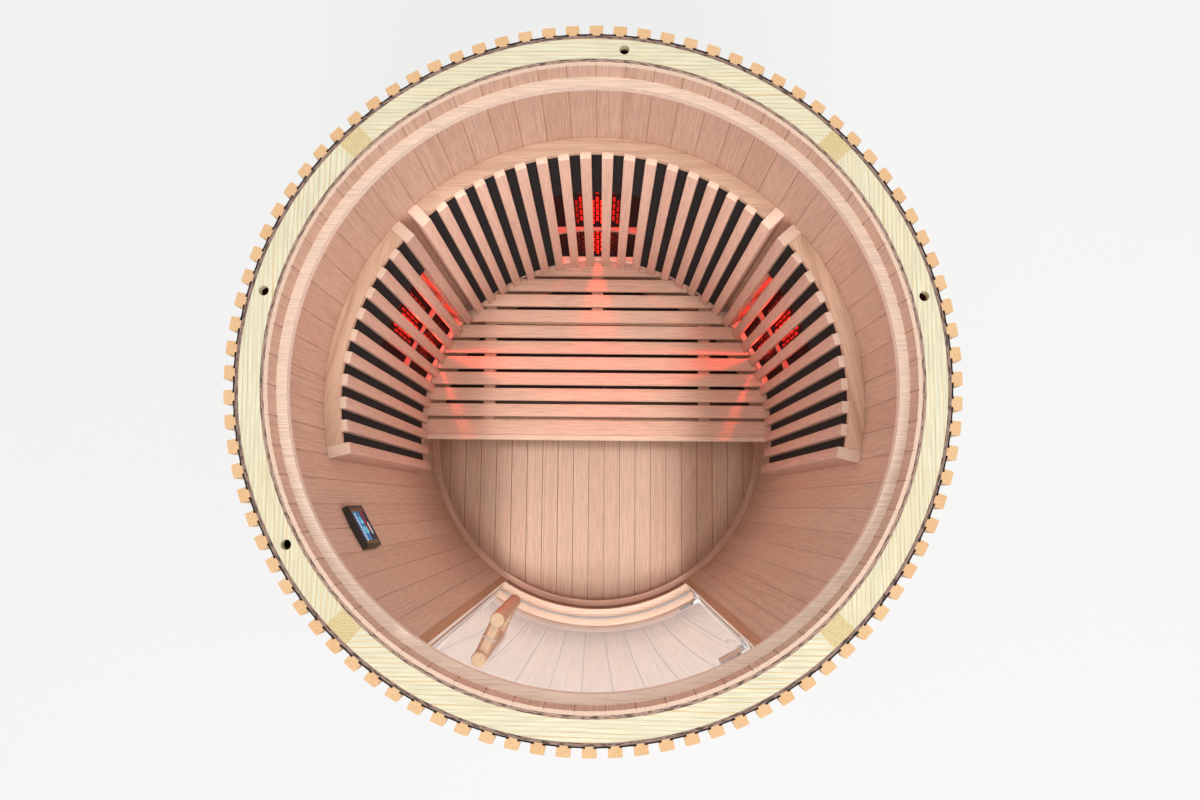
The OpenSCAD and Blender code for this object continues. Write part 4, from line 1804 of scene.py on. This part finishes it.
@dataclass
class Controls(SubAssembly):
    """The control panel on the wall, with a plain lit display of numbers and bars.

    Attributes:
        lift: Thickness of one layer of the display.
        stroke: Width of a bar or of a number's stroke.
        margin: Plain width beside the lit field.
        lip: Plain height above and below it.
        bright: Height of its bright upper part, measured from the screen's top.
        dark_tone: Tone of its lower part.
        marks: How many marks the scale has.
        mark_start: Distance from the lit field's edge to the first mark.
        mark_pitch: Distance from one mark to the next.
        scale_drop: How far the scale is under the screen's top.
        level_drop: How far the level bar is under it.
        level_end: Where the level bar ends, to the right of the screen's middle.
        title_drop: How far the title bar is under the screen's top.
        title: Where the title bar starts and ends.
        number: Width and height of a number.
        number_drop: How far the numbers' feet are under the screen's top.
        number_at: Where each number starts.
        reading: The two numbers, as the lit strokes of each.
    """

    lift: float = 0.2 * MM
    stroke: float = 6.5 * MM
    margin: float = 9.0 * MM
    lip: float = 3.0 * MM
    bright: float = 62.0 * MM
    dark_tone: float = 0.12
    marks: int = 9
    mark_start: float = 4.0 * MM
    mark_pitch: float = 8.5 * MM
    scale_drop: float = 22.0 * MM
    level_drop: float = 82.0 * MM
    level_end: float = 16.0 * MM
    title_drop: float = 98.0 * MM
    title: Span = (-8.0 * MM, 24.0 * MM)
    number: Span = (17.0 * MM, 34.0 * MM)
    number_drop: float = 66.0 * MM
    number_at: Span = (-24.0 * MM, 3.0 * MM)
    reading: tuple[str, str] = ("bcfg", "acdfg")

    def build(self) -> None:
        """Dresses the panel and lights its display."""
        self.finishes.dress(BEZEL, "control_panel")
        self.finishes.dress(SCREEN, "control_screen")
        face = flat_faces("control_screen")[0]
        wide, split = face.half - self.margin, face.z1 - self.bright
        lit = MeshMaker("display_field", seed=95)
        self.patch(lit, face, (-wide, wide), (split, face.z1 - self.lip), 0, 1.0)
        self.patch(lit, face, (-wide, wide), (face.z0 + self.lip, split), 0, self.dark_tone)
        scale = MeshMaker("display_scale", seed=96)
        for i in range(self.marks):
            start = self.mark_start + i * self.mark_pitch - wide
            self.bar(scale, face, (start, start + self.stroke), self.scale_drop)
        self.bar(scale, face, self.title, self.title_drop)
        level = MeshMaker("display_level", seed=97)
        self.bar(level, face, (-wide, self.level_end), self.level_drop)
        numbers = MeshMaker("display_numbers", seed=98)
        for start, strokes in zip(self.number_at, self.reading):
            self.digit(numbers, face, start, face.z1 - self.number_drop, strokes)
        self.place(lit, DISPLAY_BLUE, "screen")
        self.place(scale, DISPLAY_WHITE, "screen")
        self.place(level, DISPLAY_RED, "screen")
        self.place(numbers, DISPLAY_CYAN, "screen")

    def bar(self, made: MeshMaker, face: FlatFace, across: Span, drop: float) -> None:
        """Adds one lit bar whose foot is a distance under the screen's top."""
        z = face.z1 - drop
        self.patch(made, face, across, (z, z + self.stroke), 1, 1.0)

    def patch(
        self, made: MeshMaker, face: FlatFace, across: Span, up: Span, layer: int, tone: float
    ) -> None:
        """Adds one lit rectangle in a layer of the display.

        Args:
            made: The piece that takes it.
            face: The screen's face.
            across: Where it starts and ends across the screen.
            up: Its foot and its top.
            layer: Number of the layer, counted from the screen.
            tone: How bright it is.
        """
        corners = [(across[0], up[0]), (across[1], up[0]), (across[1], up[1]), (across[0], up[1])]
        rings = [[face.point(x, z, self.lift * n) for x, z in corners] for n in (layer + 0.05, layer + 1)]
        made.board(rings, lambda p: p, tone)

    def digit(self, made: MeshMaker, face: FlatFace, x0: float, z0: float, lit: str) -> None:
        """Adds one number made of straight strokes, lettered a to g from its top clockwise.

        Args:
            made: The piece that takes it.
            face: The screen's face.
            x0: Its left side.
            z0: Its foot.
            lit: Letters of the strokes that are lit.
        """
        (w, h), b = self.number, self.stroke
        strokes = {
            "a": ((0, w), (h - b, h)), "b": ((w - b, w), (h / 2, h - b)), "c": ((w - b, w), (b, h / 2)),
            "d": ((0, w), (0, b)), "e": ((0, b), (b, h / 2)), "f": ((0, b), (h / 2, h - b)),
            "g": ((b, w - b), ((h - b) / 2, (h + b) / 2)),
        }
        for name in lit:
            across, up = strokes[name]
            self.patch(made, face, (x0 + across[0], x0 + across[1]), (z0 + up[0], z0 + up[1]), 1, 1.0)


# ---------------------------------------------------------------- studio


def gathered(name: str, *members: str) -> bpy.types.Collection:
    """Returns a new collection of CAD nodes and pieces, which a lamp is then limited to.

    Args:
        name: The collection's name.
        members: Names of the nodes and pieces.

    Returns:
        The collection.
    """
    made = bpy.data.collections.new(name)
    for member in members:
        made.objects.link(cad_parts.get(member) or bpy.data.objects[member])
    return made


@dataclass
class Studio:
    """Camera, light and floor.

    Attributes:
        eye: Place of the camera.
        tilt: How far it leans forward from straight down.
        heading: How far it is turned about the upright.
        roll: How far it is turned about its own axis.
        lens: Focal length.
        sensor: Width of its sensor, in millimetres as the focal length.
        air: Brightness of the surround and of the studio floor's own light.
        floor_reach: Radius of the studio floor.
        floor_sides: Straight pieces of its edge.
        floor_level: Height of its top.
        greys: Its darkest and its lightest grey.
        aim: Place that the soft lamps at the sides are aimed at.
        heater_red: Colour of the red lamps.
        heater_depth: How far the red lamps are behind the emitters' faces.
        heater_power: Power of each red lamp in watts.
        sill_power: Power of the lamp over the sill in watts.
    """

    eye: Point = (17.9 * MM, -260.1 * MM, 3789.6 * MM)
    tilt: float = 6.482
    heading: float = 0.875
    roll: float = -0.362
    lens: float = 27.58
    sensor: float = 36.0
    air: float = 0.63
    floor_reach: float = 40.0
    floor_sides: int = 64
    floor_level: float = -0.5 * MM
    greys: Span = (0.30, 0.305)
    aim: Point = (0.0, 0.0, 1.5)
    heater_red: Point = (1.0, 0.05, 0.035)
    heater_depth: float = 17.0 * MM
    heater_power: float = 2.3
    sill_power: float = 0.68

    def camera(self) -> None:
        """Places the camera above the open top."""
        data = bpy.data.cameras.new("view_camera")
        data.lens = self.lens
        data.sensor_width = self.sensor
        data.clip_start = 0.05
        camera = new_object("view_camera", data)
        turned = Matrix.Identity(4)
        for degrees, axis in ((self.heading, "Z"), (self.tilt, "X"), (self.roll, "Z")):
            turned = turned @ Matrix.Rotation(math.radians(degrees), 4, axis)
        camera.matrix_world = Matrix.Translation(self.eye) @ turned
        bpy.context.scene.camera = camera

    def floor(self) -> None:
        """Lays the pale studio floor."""
        mesh = bpy.data.meshes.new("studio_floor")
        count, reach = self.floor_sides, self.floor_reach
        turns = [2 * math.pi * k / count for k in range(count)]
        points = [(reach * math.cos(a), reach * math.sin(a), self.floor_level) for a in turns]
        mesh.from_pydata(points, [], [tuple(range(count))])
        made, s, surface = new_material("studio_white")
        dark, light = ((grey, grey, grey, 1.0) for grey in self.greys)
        clouds = s.noise(s.place(), 0.6, 1.0)
        s.fill(surface, Base_Color=s.mix(clouds, dark, light), Roughness=0.9, Specular_IOR_Level=0.0)
        s.fill(surface, Emission_Color=WHITE, Emission_Strength=self.air)
        mesh.materials.append(made)
        new_object("studio_floor", mesh)

    def sky(self) -> None:
        """Sets an even white surround."""
        world = bpy.data.worlds.new("studio_air")
        world.use_nodes = True
        Shader(world.node_tree).fill(world.node_tree.nodes["Background"], Color=WHITE, Strength=self.air)
        bpy.context.scene.world = world

    def lamp(self, name: str, kind: str, at: Point, power: float, **settings: object) -> bpy.types.Object:
        """Hangs a lamp that shines straight down and isn't seen itself.

        Args:
            name: Name of the lamp.
            kind: Blender's name for its kind.
            at: Where it hangs.
            power: Its power in watts.
            settings: Other settings of the lamp.

        Returns:
            The lamp.
        """
        data = bpy.data.lights.new(name, kind)
        data.energy = power
        for setting, value in settings.items():
            setattr(data, setting, value)
        lamp = new_object(name, data)
        lamp.location = at
        lamp.visible_camera = False
        lamp.visible_glossy = False
        lamp.visible_transmission = False
        return lamp

    def aimed(self, name: str, at: Point, power: float, size: float) -> bpy.types.Object:
        """Hangs a round soft lamp that is aimed at the middle of the cabin, and returns it.

        Args:
            name: Name of the lamp.
            at: Where it hangs.
            power: Its power in watts.
            size: Its diameter.

        Returns:
            The lamp.
        """
        lamp = self.lamp(name, "AREA", at, power, shape="DISK", size=size)
        lamp.rotation_euler = (Vector(at) - Vector(self.aim)).to_track_quat("Z", "Y").to_euler()
        return lamp

    def heater_lamps(self) -> None:
        """Puts a small red lamp behind each emitter, whose light only the seat and backrests stop."""
        backs = [f"back_{part}_{side}" for side in SIDES for part in ("slats", "frame", "cap")]
        seat = ("seat_slats", "seat_nosing")
        stops = gathered("heater_light_stops", *backs, *seat, "heater_panels", "emitter_boxes")
        for i, face in enumerate(flat_faces("emitters")):
            at = face.point(0.0, (face.z0 + face.z1) / 2, -self.heater_depth)
            lamp = self.lamp(
                f"heater_glow_{i}", "SPOT", at, self.heater_power, color=self.heater_red,
                shadow_soft_size=1.5 * MM, spot_size=math.radians(176), spot_blend=0.05,
            )
            lamp.rotation_euler = face.out.to_track_quat("Z", "Y").to_euler()
            lamp.light_linking.blocker_collection = stops

    def sill_lamp(self) -> None:
        """Hangs a soft lamp in the doorway that lights only the sill and what stands by it."""
        lamp = self.lamp(
            "sill_lamp", "AREA", (0.0, -0.66, 1.4), self.sill_power, shape="RECTANGLE", size=0.8,
            size_y=0.2, spread=math.radians(60),
        )
        lamp.light_linking.receiver_collection = gathered(
            "sill_light_takers", "door_sill", "hinge_brackets", "door_hinges", "reveal_strips"
        )

    def back_lamp(self) -> None:
        """Hangs a soft lamp over the door that lights only the slats of the middle backrest."""
        lamp = self.aimed("back_lamp", (0.0, -2.0, 4.0), 50.0, 1.0)
        takers = gathered("back_light_takers", "back_slats_middle", "back_frame_middle")
        lamp.light_linking.receiver_collection = takers

    def build(self) -> None:
        """Sets up everything round the cabin."""
        self.camera()
        self.floor()
        self.sky()
        self.lamp("overhead", "AREA", (0.0, -0.05, 7.0), 51.0, shape="DISK", size=1.6)
        self.lamp("room_globe", "POINT", (-0.04, -0.1, 1.7), 1.7, shadow_soft_size=0.28)
        self.lamp("low_globe", "POINT", (-0.04, -0.15, 1.0), 2.0, shadow_soft_size=0.2)
        self.lamp(
            "pool", "AREA", (-0.03, -0.01, 2.3), 0.82, shape="RECTANGLE", size=0.71, size_y=1.04,
            spread=math.radians(6),
        )
        self.aimed("side_softbox", (5.0, -1.0, 7.0), 56.0, 2.2)
        self.aimed("front_softbox", (0.6, -5.0, 7.5), 215.0, 2.5)
        self.heater_lamps()
        self.sill_lamp()
        self.back_lamp()
        view = bpy.context.scene.view_settings
        view.view_transform = "Standard"
        view.look = "None"


def main() -> None:
    """Builds the cabin's pieces in order."""
    logging.basicConfig(level=logging.INFO, format="%(name)s: %(message)s")
    finishes = Finishes()
    for part in (WallShell, WallLining, Floor, Bench, Backrests, Heaters, Doorway, DoorLeaf, Controls):
        part(finishes).build()
        LOG.info("finished %s", part.__name__)
    Studio().build()


if __name__ == "__main__":
    main()
